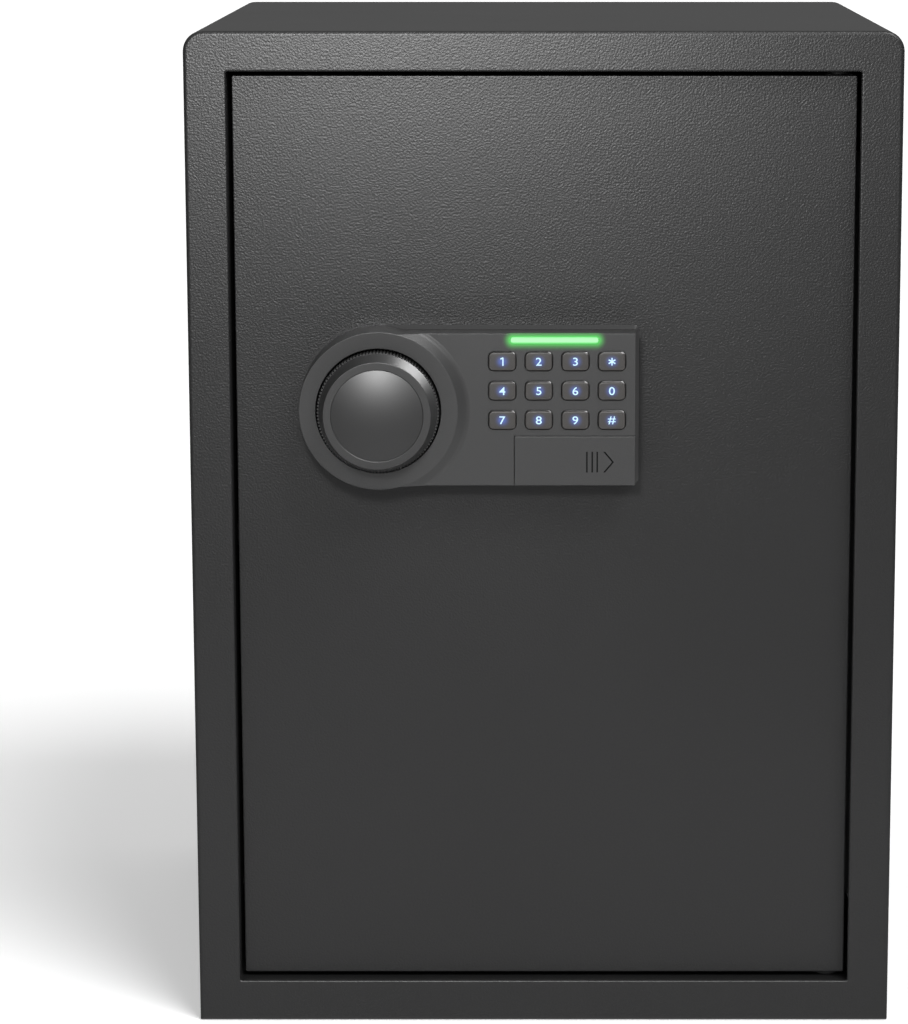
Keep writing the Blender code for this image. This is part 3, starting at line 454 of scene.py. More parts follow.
def makeBatteryLook():
    made, tree, shader, place, colour = grainMaterial(
        "batterySleeve", (0.012, 0.016, 0.030), (0.020, 0.025, 0.045), 0.25, 0.9 * mm, 0.004 * mm)
    height = addNode(tree, "SeparateXYZ", None, {0: place}).outputs[2]
    band = rampMask(tree, height, 33.5 * mm, 33.9 * mm)  # the copper-coloured end of the sleeve
    tree.links.new(mixColour(tree, band, colour, (0.55, 0.33, 0.10)), shader.inputs["Base Color"])
    return made


lamp = {
    "spill": 1.25, "spillColour": (0.05, 0.46, 0.06), "spillCore": 1.7 * mm, "spillReach": 4.0 * mm,
    "lensCore": 0.75 * mm, "lensReach": 1.5 * mm, "lensRim": (0.06, 0.62, 0.09), "endRoom": 1.2 * mm,
}
lightLow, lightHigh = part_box("light_bar")
lampGlow = {
    "Centre": ((lightLow.x + lightHigh.x) / 2, lightLow.y, (lightLow.z + lightHigh.z) / 2),
    "Half Length": (lightHigh.x - lightLow.x) / 2 - lamp["endRoom"],
}
spillGlow = {**lampGlow, "Core": lamp["spillCore"], "Reach": lamp["spillReach"]}
lensGlow = {**lampGlow, "Core": lamp["lensCore"], "Reach": lamp["lensReach"]}
legendGlow = {"Centre": (0, 0, 0), "Half Length": 0.3 * mm, "Core": 1.1 * mm, "Reach": 3.0 * mm}

housingLook, *parts = grainMaterial(
    "housingPlastic", (0.026, 0.026, 0.0262), (0.032, 0.032, 0.0323), 0.40, 0.45 * mm, 0.012 * mm, fine=0.5)
# painted green glow of the lamp's light on the housing round it
addPaintedSpill(*parts[:3], spillGlow, lamp["spillColour"], lamp["spill"])
keyLook, *parts = grainMaterial(
    "keyCap", (0.034, 0.032, 0.031), (0.042, 0.039, 0.037), 0.38, 0.5 * mm, 0.010 * mm, fine=0.5)
# painted blue glow of the lit legends on the key caps
addPaintedSpill(*parts[:3], legendGlow, (0.03, 0.09, 0.42), 0.80)
lampLook = makeGlowingLook("litLamp", (0.46, 1.0, 0.50), 0.97, 2 * mm, lensGlow, lamp["lensRim"])
legendLook = makeGlowingLook("litLegend", (0.60, 0.84, 1.0), 1.10, 1 * mm)
feltLook = makeFeltLook()
boardLook = makeBoardLook()
batteryLook = makeBatteryLook()


# Cabinet

cabinet = {
    "sheet": 2 * mm,
    "corner": 10 * mm,  # upper corners, round
    "foot": 0.6 * mm,  # lower corners, nearly square
    "backEdge": 0.4 * mm,
    "frontEdge": 1.9 * mm,
    "openEdge": 0.9 * mm,
    "openCorner": 0.9 * mm,
    "seam": 0.5 * mm,  # painted-over weld round the back panel
    "faceInset": 4 * mm,
    "gap": (2.1 * mm, 1.3 * mm, 2.3 * mm, 2.3 * mm),  # round the door: left, right, below, above
    "returnDepth": 26 * mm,
    "hingeReturn": 160 * mm,
    "hingeReturnDepth": 16 * mm,
    "pinHole": 6 * mm,
}
doorPlate = {
    "corner": 1 * mm, "frontEdge": 0.6 * mm, "backEdge": 0.5 * mm,
    "shaftHole": 5.5 * mm, "lockHole": 9.3 * mm, "cableHole": 4 * mm, "cablePlace": (30 * mm, 0, 322 * mm),
}
shellLow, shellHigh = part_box("cabinet_shell")
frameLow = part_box("front_frame")[0]
doorLow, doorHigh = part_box("door_plate")
axes = [Vector(joints[name]["pos_m"]) for name in ("door_hinge", "knob_turn", "key_turn")]
hinge, knobAxis, keyAxis = axes
past = 1 * mm  # how far a cutter runs past the face it opens


def makeCabinetBody():
    # one seamless wrap: sides, folded face and the returns that line the door opening
    front, back, sheet, face = frameLow.y, shellHigh.y, cabinet["sheet"], cabinet["faceInset"]
    gap = cabinet["gap"]
    opening = (doorLow.x - gap[0], doorHigh.x + gap[1], doorLow.z - gap[2], doorHigh.z + gap[3])

    def outer(inset, y):
        top = max(cabinet["corner"] - inset, 0.5 * mm)
        foot = max(cabinet["foot"] - inset, 0.2 * mm)
        sides = (shellLow.x + inset, shellHigh.x - inset, shellLow.z + inset, shellHigh.z - inset)
        return rectLoop(*sides, y, (foot, foot, top, top), 8)

    def inner(grow, y, hingeSide=None):
        left, right, low, high = opening
        sides = (left - grow, hingeSide or right + grow, low - grow, high + grow)
        return rectLoop(*sides, y, (cabinet["openCorner"] + grow,) * 4, 8)

    rear = roundPath([
        (sheet, back), (0, back, cabinet["backEdge"]), (0, front, cabinet["frontEdge"]), (face, front)], 8)
    loops = [outer(inset, y) for inset, y in rear]
    lip = roundPath([(face, front), (0, front, cabinet["openEdge"]), (0, front + sheet)], 6)
    loops += [inner(grow, y) for grow, y in lip]
    wall, rim, end = cabinet["hingeReturn"], front + sheet, front + cabinet["returnDepth"]
    loops += [inner(0, rim + 0.2 * mm, wall), inner(0, end, wall)]
    loops += [inner(sheet, end, wall + sheet), inner(sheet, rim + 0.2 * mm, wall + sheet), outer(sheet, rim)]
    seam, panel = cabinet["seam"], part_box("back_panel")[0].y
    for rise, before in ((0, 1.6), (seam, 0.2), (0, -0.1)):
        loops.append(outer(sheet + rise, panel - before * seam))
    body = toObject("cabinet_body", loft(loops, closed=True))

    floorRoom = block(
        "floorRoom", (shellLow.x + sheet - 0.05 * mm, shellHigh.x - sheet + 0.05 * mm),
        (shellLow.y - 0.1 * mm, back + past), (-past, sheet + cabinet["seam"] + 0.1 * mm))
    shortReturn = block(
        "shortReturn", (wall - past, wall + sheet + past),
        (front + cabinet["hingeReturnDepth"], end + past), (opening[2], opening[3]))
    pinLine = [(cabinet["pinHole"], 5 * mm), (cabinet["pinHole"], 495 * mm)]
    pinHoles = turned("pinHoles", pinLine, Matrix.Translation((hinge.x, hinge.y, 0)), 48)
    combine(body, floorRoom, shortReturn, pinHoles)
    finishPiece(body, "cabinet", powderCoat, ("cabinet_shell", "front_frame"))


def makeDoorSkin():
    low, high = doorLow, doorHigh
    edge = roundPath([
        (6 * mm, high.y), (0, high.y, doorPlate["backEdge"]),
        (0, low.y, doorPlate["frontEdge"]), (6 * mm, low.y)], 5)
    loops = []
    for inset, y in edge:
        loops.append(insetLoop(low, high, inset, y, max(doorPlate["corner"] - inset, 0.3 * mm)))
    door = toObject("door_skin", loft(loops))
    holes = []
    cablePlace = Vector(doorPlate["cablePlace"])
    for middle, kind in ((knobAxis, "shaftHole"), (keyAxis, "lockHole"), (cablePlace, "cableHole")):
        radius = doorPlate[kind]
        holes.append(turned(kind, [(radius, -high.y - past), (radius, -low.y + past)], onFront(middle), 48))
    combine(door, *holes)
    finishPiece(door, "door", powderCoat, ("door_plate",))


print("cabinet and door")
makeCabinetBody()
makeDoorSkin()


# Lock housing

housing = {
    "ringRadius": 39 * mm,
    "ringEdge": 0.35 * mm,
    "ringDraft": 0.5 * mm,
    "recessRadius": 30.7 * mm,
    "recessEdge": 0.3 * mm,
    "recessFloor": 0.5 * mm,  # behind the face of the frame
    "coveRadius": 46.6 * mm,
    "coveRun": 4.6 * mm,
    "coveBlend": 5 * mm,
    "skirt": 2 * mm,
    "wall": 2.5 * mm,
    "plateHeight": 75.4 * mm,
    "plateEdge": 0.3 * mm,
    "plateCorner": 0.5 * mm,
    "pocket": (-32.0 * mm, 42.5 * mm, 304.6 * mm, 352.8 * mm),  # left, right, low, high
    "segments": 160,
}
housingLow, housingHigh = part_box("lock_housing")
coverLow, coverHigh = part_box("key_cover")
plateFront = coverLow.y
plateLow = Vector((coverLow.x, plateFront, coverLow.z))
plateHigh = Vector((coverHigh.x, plateFront, coverLow.z + housing["plateHeight"]))
lockPieces = []  # what the rim light picks out
keyNames = ["1", "2", "3", "star", "4", "5", "6", "0", "7", "8", "9", "hash"]


def slotLoops(low, high, y0, y1, grow, flare, corner, hold=0.2 * mm):
    # an opening cutter that flares by a small chamfer at the front
    loops = []
    for wider, y in ((0, y1), (0, y0 + flare), (flare, y0), (flare + 1 * mm, y0 - 1 * mm)):
        add = grow + wider
        loops.append(insetLoop(low, high, -add, y, corner + add, 6, hold))
    return loops


def makeHousing():
    seat, ringFront = housingHigh.y, housingLow.y
    skirt, ringRadius, edge = housing["skirt"], housing["ringRadius"], housing["plateEdge"]
    section = [(-skirt, seat), (0, seat - skirt), (0, plateFront, edge), (6 * mm, plateFront)]
    loops = []
    for inset, y in roundPath(section, 5):
        radius = max(housing["plateCorner"] - inset, 0.15 * mm)
        sides = (knobAxis.x - min(inset, 0), plateHigh.x - inset, plateLow.z + inset, plateHigh.z - inset)
        loops.append(rectLoop(*sides, y, (radius,) * 4))
    body = toObject("lock_housing_shell", loft(loops))

    # the cove slopes from the ring down to the plate, and ends just under the plate's face
    place = onFront(knobAxis)
    root, inner, coveRadius = -plateFront - 2 * mm, ringRadius - 3 * mm, housing["coveRadius"]
    slope = roundPath([
        (ringRadius, -ringFront - 0.05 * mm),
        (ringRadius + housing["coveRun"], -plateFront + 0.04 * mm, housing["coveBlend"]),
        (coveRadius, -plateFront - 0.08 * mm)], 12)
    profile = [(inner, slope[0][1]), *slope, (coveRadius, root), (inner, root)]
    cove = turned("cove", profile, place, housing["segments"], True)
    limit = block(
        "limit", (knobAxis.x + 5 * mm, plateHigh.x), (ringFront - past, plateFront + 3 * mm),
        (plateLow.z + 0.05 * mm, plateHigh.z - 0.05 * mm))
    combine(cove, limit, operation="INTERSECT")
    rough = turned("rough", [(inner, -seat - past), (inner, -ringFront + past)], place, housing["segments"])
    combine(body, rough)
    recess, shaft = housing["recessRadius"], doorPlate["shaftHole"]
    floor = -(frameLow.y + housing["recessFloor"])
    profile = roundPath([
        (shaft, floor), (recess, floor, 0.6 * mm), (recess, -ringFront, housing["recessEdge"]),
        (ringRadius, -ringFront, housing["ringEdge"]),
        (ringRadius + housing["ringDraft"], -seat), (shaft, -seat)], 7)
    boss = turned("boss", profile, place, housing["segments"], True)
    combine(body, cove, boss, operation="UNION")

    left, right, low, high = housing["pocket"]
    pocket = block("pocket", (left, right), (plateFront + housing["wall"], seat + past), (low, high))
    coverSeat = block(
        "coverSeat", (plateLow.x - 0.3 * mm, plateHigh.x + 3 * mm),
        (plateFront - past, coverHigh.y + 0.3 * mm), (plateLow.z - 3 * mm, coverHigh.z + 0.3 * mm))
    lockHole = doorPlate["lockHole"]
    barrel = turned("barrel", [(lockHole, -plateFront), (lockHole, -seat - past)], onFront(keyAxis), 64)
    combine(body, pocket, coverSeat, barrel)

    openings = bmesh.new()
    inside = plateFront + housing["wall"] + past
    for name in keyNames:
        low, high = keyFace(name)
        copyInto(openings, loft(slotLoops(low, high, plateFront, inside, 0.05 * mm, 0.15 * mm, 2.7 * mm)))
    half = (lightHigh.z - lightLow.z) / 2
    lampRoom = slotLoops(
        lightLow, lightHigh, plateFront, inside, 0.15 * mm, 0.2 * mm, half - 0.02 * mm, 0.01 * mm)
    copyInto(openings, loft(lampRoom))
    combine(body, toObject("openings", openings))
    finishPiece(body, "door", housingLook, ("lock_housing",))


def copyInto(target, source):
    mesh = bpy.data.meshes.new("part")
    source.normal_update()
    bmesh.ops.recalc_face_normals(source, faces=source.faces)
    source.to_mesh(mesh)
    source.free()
    target.from_mesh(mesh)
    bpy.data.meshes.remove(mesh)


def keyFace(name):
    # the cap of a key without the wider flange that holds it in
    low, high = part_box("key_" + name)
    flange = Vector((0.8 * mm, 0, 1.0 * mm))
    return low + flange, high - flange


def makeLamp():
    low, high = lightLow, lightHigh
    half = (high.z - low.z) / 2
    loops = []
    section = roundPath([(0, high.y), (0, low.y, 0.35 * mm), (half * 0.6, low.y - 0.08 * mm)], 5, 0.1 * mm)
    for inset, y in section:
        radius = max(half - inset - 0.02 * mm, 0.1 * mm)
        loops.append(insetLoop(low, high, inset, y, radius, 10, 0.01 * mm))
    lens = toObject("lamp_lens", loft(loops))
    finishPiece(lens, "door", lampLook, ("light_bar",))


keyCap = {
    "trim": 0.4 * mm,  # the cap is this much smaller all round than its solid
    "flange": 0.8 * mm, "flangeThick": 1.5 * mm,
    "corner": 2.4 * mm, "edge": 0.5 * mm, "crown": 0.12 * mm,
    "legendHeight": 5.6 * mm, "legendWiden": 1.15, "legendBold": 0.03 * mm, "legendRise": 0.06 * mm,
    "stroke": 0.62 * mm,
}


def makeKey(name):
    low, high = keyFace(name)
    front, back = low.y, high.y
    node = "key_" + name
    centre = Vector(((low.x + high.x) / 2, front, (low.z + high.z) / 2))
    flange, flangeFront, trim = keyCap["flange"], back - keyCap["flangeThick"], keyCap["trim"]
    section = [(-flange, back), (-flange, flangeFront), (0, flangeFront)]
    section += roundPath([
        (trim, flangeFront), (trim, front + keyCap["crown"], keyCap["edge"]), (4 * mm, front)], 6, 0.1 * mm)
    loops = []
    for inset, y in section:
        radius = max(keyCap["corner"] - inset, 0.3 * mm)
        loops.append([point - centre for point in insetLoop(low, high, inset, y, radius, 6, 0.15 * mm)])
    cap = toObject(node + "_cap", loft(loops))
    cap.location = centre
    lockPieces.append(finishPiece(cap, node, keyLook, (node,)))

    letter = "#" if name == "hash" else name
    legend = makeStrokes(node, name) if name in ("1", "star") else makeDigit(node, letter)
    legend.location = centre
    finishPiece(legend, node, legendLook)


def makeDigit(node, letter):
    curve = bpy.data.curves.new(node + "_legend", "FONT")
    curve.body = letter
    curve.size = keyCap["legendHeight"]
    curve.align_x = "CENTER"
    curve.extrude = keyCap["legendRise"]
    curve.offset = keyCap["legendBold"]
    curve.resolution_u = 6
    text = bpy.data.objects.new("text", curve)
    scene.collection.objects.link(text)
    bpy.context.view_layer.update()
    mesh = bpy.data.meshes.new_from_object(text.evaluated_get(bpy.context.evaluated_depsgraph_get()))
    bpy.data.objects.remove(text, do_unlink=True)
    shape = bmesh.new()
    shape.from_mesh(mesh)
    spans = [[vertex.co[axis] for vertex in shape.verts] for axis in (0, 1)]
    middle = [(min(span) + max(span)) / 2 for span in spans]
    widen = Matrix.Scale(keyCap["legendWiden"], 4, (1, 0, 0))
    shape.transform(facing @ widen @ Matrix.Translation((-middle[0], -middle[1], 0)))
    return toObject(node + "_legend", shape)


def makeStrokes(node, name):
    # the one has a flag, and the star three crossing arms
    half, rise = keyCap["stroke"] / 2, keyCap["legendRise"]
    if name == "1":
        lines = [((0.35, -2.05), (0.35, 2.05)), ((-0.85, 1.25), (0.35, 1.95))]
    else:
        arms = [Vector((1.9 * cos(angle), 1.9 * sin(angle))) for angle in (pi / 2, pi / 6, 5 * pi / 6)]
        lines = [(-arm, arm) for arm in arms]
    bars = []
    for start, end in lines:
        start, end = Vector(start) * mm, Vector(end) * mm
        length = (end - start).length / 2
        turn = atan2(end.y - start.y, end.x - start.x)
        middle = (start + end) / 2
        depth = rise - 0.005 * mm * len(bars)
        bar = block(node + "_legend", (-length, length), (-half, half), (-depth, depth))
        place = facing @ Matrix.Translation((middle.x, middle.y, 0))
        bar.data.transform(place @ Matrix.Rotation(turn, 4, "Z"))
        bars.append(bar)
    return combine(*bars, operation="UNION")


icon = {
    "bars": (21.25 * mm, 23.86 * mm, 26.32 * mm), "arrow": (29.3 * mm, 33.6 * mm),
    "low": 285.0 * mm, "high": 295.3 * mm, "line": 0.7 * mm, "depth": 0.5 * mm,
}


def makeKeyCover():
    low, high = coverLow, coverHigh
    edges = roundPath([(6 * mm, high.y), (0, high.y), (0, low.y, 0.35 * mm), (4 * mm, low.y)], 4)
    loops = []
    for inset, y in edges:
        loops.append(insetLoop(low, high, inset, y, max(0.5 * mm - inset, 0.15 * mm)))
    cover = toObject("sliding_cover", loft(loops))
    deep, half = (low.y - past, low.y + icon["depth"]), icon["line"] / 2
    marks = [block("mark", (x - half, x + half), deep, (icon["low"], icon["high"])) for x in icon["bars"]]
    start, tip = icon["arrow"]
    middle = (icon["low"] + icon["high"]) / 2
    width = icon["line"] * 1.35
    outline = [(start, icon["high"]), (tip, middle), (start, icon["low"]), (start + width, icon["low"]),
               (tip + width, middle), (start + width, icon["high"])]
    marks.append(toObject("arrow", loft([[Vector((x, y, z)) for x, z in outline] for y in deep])))
    combine(cover, *marks)
    finishPiece(cover, "key_cover", housingLook, ("key_cover",))
    cover.data.materials.append(grooveShadeLook)
    for face in cover.data.polygons:  # the walls and floors of the slide mark's grooves get the near-black painted shade
        inside = icon["bars"][0] - 1 * mm < face.center.x < icon["arrow"][1] + 2 * mm
        level = icon["low"] - 0.5 * mm < face.center.z < icon["high"] + 0.5 * mm
        if inside and level and low.y + 0.05 * mm < face.center.y < low.y + icon["depth"] + 0.05 * mm:
            face.material_index = 1


print("lock housing, keys and lamp")
makeHousing()
makeLamp()
for name in keyNames:
    makeKey(name)
makeKeyCover()


# Knob

knob = {
    "radius": 30 * mm, "flange": 26.3 * mm, "dome": 22.3 * mm, "front": 195 * mm,
    "rise": 2.8 * mm, "step": 0.35 * mm, "domeRings": 14, "coneEnd": 11 * mm,
    "shoulder": 1.2 * mm,  # the grip band is pressed over this
    "teeth": 112, "toothDepth": 1.0 * mm, "pointsPerTooth": 6,
    "skin": 4 * mm, "skirtDepth": 15 * mm, "hub": 8 * mm, "bore": 4.3 * mm, "boreDepth": 14 * mm,
}


def makeKnob():
    front, back = knob["front"], -(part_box("knob")[1].y)
    dome, rise = knob["dome"], knob["rise"]
    sphere = (dome**2 + rise**2) / (2 * rise)
    centre = front - knob["step"] + rise - sphere
    profile = []
    for index in range(knob["domeRings"] + 1):
        r = dome * index / knob["domeRings"]
        profile.append((r, centre + (sphere**2 - r**2) ** 0.5))
    rim = roundPath([
        (dome, front - knob["step"]), (dome + 0.3 * mm, front, 0.3 * mm), (knob["flange"], front, 0.35 * mm),
        (knob["radius"] - knob["toothDepth"], front - knob["coneEnd"])], 5, 0.2 * mm)[1:]
    root, end = rim[-1]
    gripRoom, skin = root - knob["shoulder"], front - knob["skin"]
    profile += [(r, h) for r, h in rim[:-1]]
    profile += [
        (root - 0.05 * mm, end + 0.3 * mm), (root, end), (root, end - 0.3 * mm), (gripRoom, end - 0.3 * mm),
        (gripRoom, back + 0.3 * mm), (gripRoom - 1 * mm, back),
        (gripRoom - 1 * mm, front - knob["skirtDepth"]),
        (knob["flange"] - 4 * mm, skin), (knob["hub"], skin), (knob["hub"], back), (knob["bore"], back),
        (knob["bore"], front - knob["boreDepth"]), (0, front - knob["boreDepth"])]
    place = onFront(knobAxis)
    cap = turned("knob_cap", profile, place, 192)
    lockPieces.append(finishPiece(cap, "knob", knobPlastic, ("knob",), 40))

    teeth = knob["teeth"]

    def tooth(angle):
        return -knob["toothDepth"] * (0.5 - 0.5 * cos(teeth * angle)) ** 1.3

    radius, inside = knob["radius"], gripRoom + 0.1 * mm
    top, bottom = end - 0.35 * mm, back + 0.3 * mm
    band = [  # radius, height, and whether the teeth cut it
        (inside, top, False), (root - 0.1 * mm, top, False), (radius - 0.1 * mm, top, True),
        (radius, top - 0.2 * mm, True), (radius, bottom, True), (inside, bottom, False)]
    segments = teeth * knob["pointsPerTooth"]
    loops = [ring(r, h, segments, tooth if cut else None) for r, h, cut in band]
    grip = toObject("knob_grip_band", loft(loops, closed=True), place)
    finishPiece(grip, "knob", knobPlastic, smooth=40)


print("knob")
makeKnob()


# Inside, back and hardware

bodyOf = {node: body for body, members in frame["record"]["behaviour"]["bodies"].items() for node in members}


def fineCopy(node, look, edge):
    # the solid's own shape with its sharp edges broken
    shape = bmesh.new()
    shape.from_mesh(nodes[node].data)
    bmesh.ops.remove_doubles(shape, verts=shape.verts, dist=0.002 * mm)
    bmesh.ops.dissolve_limit(shape, angle_limit=radians(0.5), verts=shape.verts, edges=shape.edges)
    made = toObject(node + "_fine", shape)
    bevel = made.modifiers.new("brokenEdges", "BEVEL")
    bevel.width = edge
    bevel.segments = 3
    bevel.limit_method = "ANGLE"
    bevel.angle_limit = radians(40)
    return finishPiece(made, bodyOf[node], look, (node,))


def roundPiece(node, profile, place, look, segments=64):
    made = turned(node + "_round", profile, place, segments)
    return finishPiece(made, bodyOf[node], look, (node,))


def centreOf(node):
    low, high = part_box(node)
    return (low + high) / 2


sheetPieces = {  # node: (finish, size of its broken edge)
    "back_panel": (powderCoat, 0.35 * mm), "floor_plate": (powderCoat, 0.35 * mm),
    "shelf": (innerCoat, 0.5 * mm),
    "shelf_ledge_left": (innerCoat, 0.4 * mm), "shelf_ledge_right": (innerCoat, 0.4 * mm),
    "door_inner_cover": (innerCoat, 0.35 * mm), "hinge_side_dead_bar": (powderCoat, 0.6 * mm),
    "upper_bolt_guide": (zincLook, 0.3 * mm), "lower_bolt_guide": (zincLook, 0.3 * mm),
    "bolt_carrier": (zincLook, 0.25 * mm), "bolt_cam": (zincLook, 0.25 * mm),
    "solenoid_body": (zincLook, 0.5 * mm),
    "battery_box": (satinPlastic, 0.3 * mm), "battery_cover": (satinPlastic, 0.4 * mm),
    "circuit_board": (boardLook, 0.12 * mm),
    "key_plug": (brassLook, 0.2 * mm), "key_cylinder": (steelLook, 0.25 * mm),
    "upper_hinge_pin": (steelLook, 0.35 * mm), "lower_hinge_pin": (steelLook, 0.35 * mm),
    "knob_spindle": (steelLook, 0.3 * mm),
}

print("inside, back and hardware")
for node, (look, edge) in sheetPieces.items():
    fineCopy(node, look, edge)


bolt = {"radius": 8 * mm, "tail": 6 * mm, "chamfer": 1.5 * mm}


def makeBolts():
    radius, tail, chamfer = bolt["radius"], bolt["tail"], bolt["chamfer"]
    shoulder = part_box("bolt_carrier")[0].x
    for node in ("upper_bolt", "lower_bolt"):
        low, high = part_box(node)
        length, seat = high.x - low.x, shoulder - low.x - 0.3 * mm
        profile = roundPath([
            (0, 0), (radius - chamfer, 0, 0.3 * mm), (radius, -chamfer, 0.3 * mm),
            (radius, -seat, 0.2 * mm), (tail, -seat), (tail, -length, 0.3 * mm), (0, -length)], 4, 0.1 * mm)
        tip = Vector((low.x, (low.y + high.y) / 2, (low.z + high.z) / 2))
        roundPiece(node, profile, Matrix.Translation(tip) @ Matrix.Rotation(-pi / 2, 4, "Y"), steelLook)


plug = {
    "head": 8.8 * mm, "stem": 5.8 * mm, "thick": 1.5 * mm, "deep": 1.7 * mm,
    "dimple": 5.5 * mm, "dimpleDeep": 0.35 * mm,
}
floorPlugs = ["floor_anchor_plug_left", "floor_anchor_plug_right"]


def makeAnchorPlugs():
    hollow = plug["thick"] - plug["dimpleDeep"]
    profile = roundPath([
        (0, hollow), (plug["dimple"], hollow, 0.2 * mm),
        (plug["dimple"] + 0.4 * mm, plug["thick"], 0.2 * mm), (plug["head"], plug["thick"], 0.7 * mm),
        (plug["head"], 0, 0.2 * mm), (plug["stem"], 0),
        (plug["stem"], -plug["deep"], 0.4 * mm), (0, -plug["deep"])], 5, 0.05 * mm)
    for node in (*floorPlugs, "back_anchor_plug_left", "back_anchor_plug_right"):
        low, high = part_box(node)
        centre = centreOf(node)
        if node in floorPlugs:
            place = Matrix.Translation((centre.x, centre.y, low.z + plug["deep"]))
        else:
            place = Matrix.Translation((centre.x, high.y - plug["deep"], centre.z)) @ facing
        roundPiece(node, profile, place, rubberLook)


screw = {
    "head": 3.8 * mm, "shank": 2 * mm, "underHead": 2.4 * mm,
    "slot": 1 * mm, "slotDepth": 1.9 * mm, "pitch": 0.7 * mm,
}


def makeCoverScrews():
    for number in (1, 2, 3, 4):
        node = "cover_screw_" + str(number)
        low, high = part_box(node)
        x, z = (low.x + high.x) / 2, (low.z + high.z) / 2
        length = high.y - low.y
        thread, neck = -screw["underHead"], -screw["underHead"] + 0.5 * mm
        profile = roundPath([
            (0, 0), (screw["head"] * 0.6, -0.2 * mm, 2 * mm), (screw["head"], -1.3 * mm, 0.4 * mm),
            (screw["head"], neck, 0.1 * mm), (screw["shank"], neck)], 4, 0.05 * mm)
        while thread - screw["pitch"] > -length:  # thread crests, one ring each
            profile += [(screw["shank"] - 0.3 * mm, thread), (screw["shank"], thread - screw["pitch"] / 2)]
            thread -= screw["pitch"]
        profile += [(screw["shank"] - 0.5 * mm, -length), (0, -length)]
        place = Matrix.Translation((x, high.y, z)) @ Matrix.Rotation(-pi / 2, 4, "X")
        made = turned(node + "_round", profile, place, 40)
        across, wide = screw["head"] + past, screw["slot"] / 2
        deep = (high.y - screw["slotDepth"] + 0.5 * mm, high.y + past)
        combine(made, block("slot", (x - across, x + across), deep, (z - wide, z + wide)))
        finishPiece(made, "door", zincLook, (node,), 40)


resetButton = {"radius": 3.6 * mm, "flangeThick": 1.5 * mm, "dish": 0.3 * mm}


def makeResetButton():
    low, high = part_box("reset_button")
    centre = centreOf("reset_button")
    radius, dish = resetButton["radius"], resetButton["dish"]
    wide, length = (high.z - low.z) / 2, high.x - low.x
    flange = resetButton["flangeThick"] - length
    profile = roundPath([
        (0, -dish), (radius - 1.2 * mm, -dish, 2 * mm), (radius - 0.8 * mm, 0, 0.3 * mm),
        (radius, 0, 0.4 * mm), (radius, flange), (wide, flange), (wide, -length), (0, -length)], 5, 0.05 * mm)
    place = Matrix.Translation((high.x, centre.y, centre.z)) @ Matrix.Rotation(pi / 2, 4, "Y")
    roundPiece("reset_button", profile, place, redPlastic)


bush = {"collar": 6.5 * mm, "barrel": 5.7 * mm, "bore": 3.8 * mm, "rise": 1.7 * mm}


def makeHingeBushes():
    bore, collar, barrel, rise = [bush[part] for part in ("bore", "collar", "barrel", "rise")]
    for node, turn in (("lower_hinge_bush", 0), ("upper_hinge_bush", pi)):
        low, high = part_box(node)
        foot = rise - (high.z - low.z)
        profile = roundPath([
            (bore, rise, 0.3 * mm), (collar, rise, 0.5 * mm), (collar, 0, 0.2 * mm),
            (barrel, 0), (barrel, foot, 0.2 * mm), (bore, foot, 0.2 * mm)], 4, 0.05 * mm)
        seat = low.z + rise if turn else high.z - rise
        place = Matrix.Translation((hinge.x, hinge.y, seat)) @ Matrix.Rotation(turn, 4, "X")
        made = turned(node + "_round", profile, place, 64, True)
        finishPiece(made, "cabinet", bushPlastic, (node,))


battery = {
    "radius": 7.1 * mm, "shoulder": 0.9 * mm, "cap": 2.6 * mm, "capRise": 1.2 * mm,
    "foot": 5.5 * mm, "footRise": 0.2 * mm,
}


def makeBatteries():
    radius, cap, foot = battery["radius"], battery["cap"], battery["foot"]
    for number in (1, 2, 3, 4):
        node = "battery_" + str(number)
        low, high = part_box(node)
        length = high.z - low.z
        can = length - battery["capRise"]
        profile = roundPath([
            (0, length), (cap, length, 0.4 * mm), (cap, can), (radius, can, battery["shoulder"]),
            (radius, 0, 0.6 * mm), (foot, 0), (foot - battery["footRise"], battery["footRise"]),
            (0, battery["footRise"])], 5, 0.1 * mm)
        made = turned(node + "_cell", profile, None, 64)
        flipped = number % 2 == 0
        middle = centreOf(node)
        made.location = (middle.x, middle.y, high.z if flipped else low.z)
        made.rotation_euler = (pi if flipped else 0, 0, 0)
        finishPiece(made, "door", batteryLook, (node,))


plunger = {"radius": 3.2 * mm, "collar": 5.5 * mm, "collarLow": 4.2 * mm, "collarHigh": 5.4 * mm}


def makePlunger():
    low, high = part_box("solenoid_plunger")
    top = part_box("solenoid_body")[1].z
    radius, collar = plunger["radius"], plunger["collar"]
    under, over = top + plunger["collarLow"], top + plunger["collarHigh"]
    profile = roundPath([
        (0, high.z), (radius, high.z, 0.8 * mm), (radius, over), (collar, over, 0.2 * mm),
        (collar, under, 0.2 * mm), (radius, under), (radius, low.z, 0.3 * mm), (0, low.z)], 4, 0.05 * mm)
    centre = centreOf("solenoid_plunger")
    roundPiece("solenoid_plunger", profile, Matrix.Translation((centre.x, centre.y, 0)), steelLook, 48)


mat = {"corner": 6 * mm, "edge": 0.9 * mm, "backEdge": 0.4 * mm, "hole": 11.5 * mm}


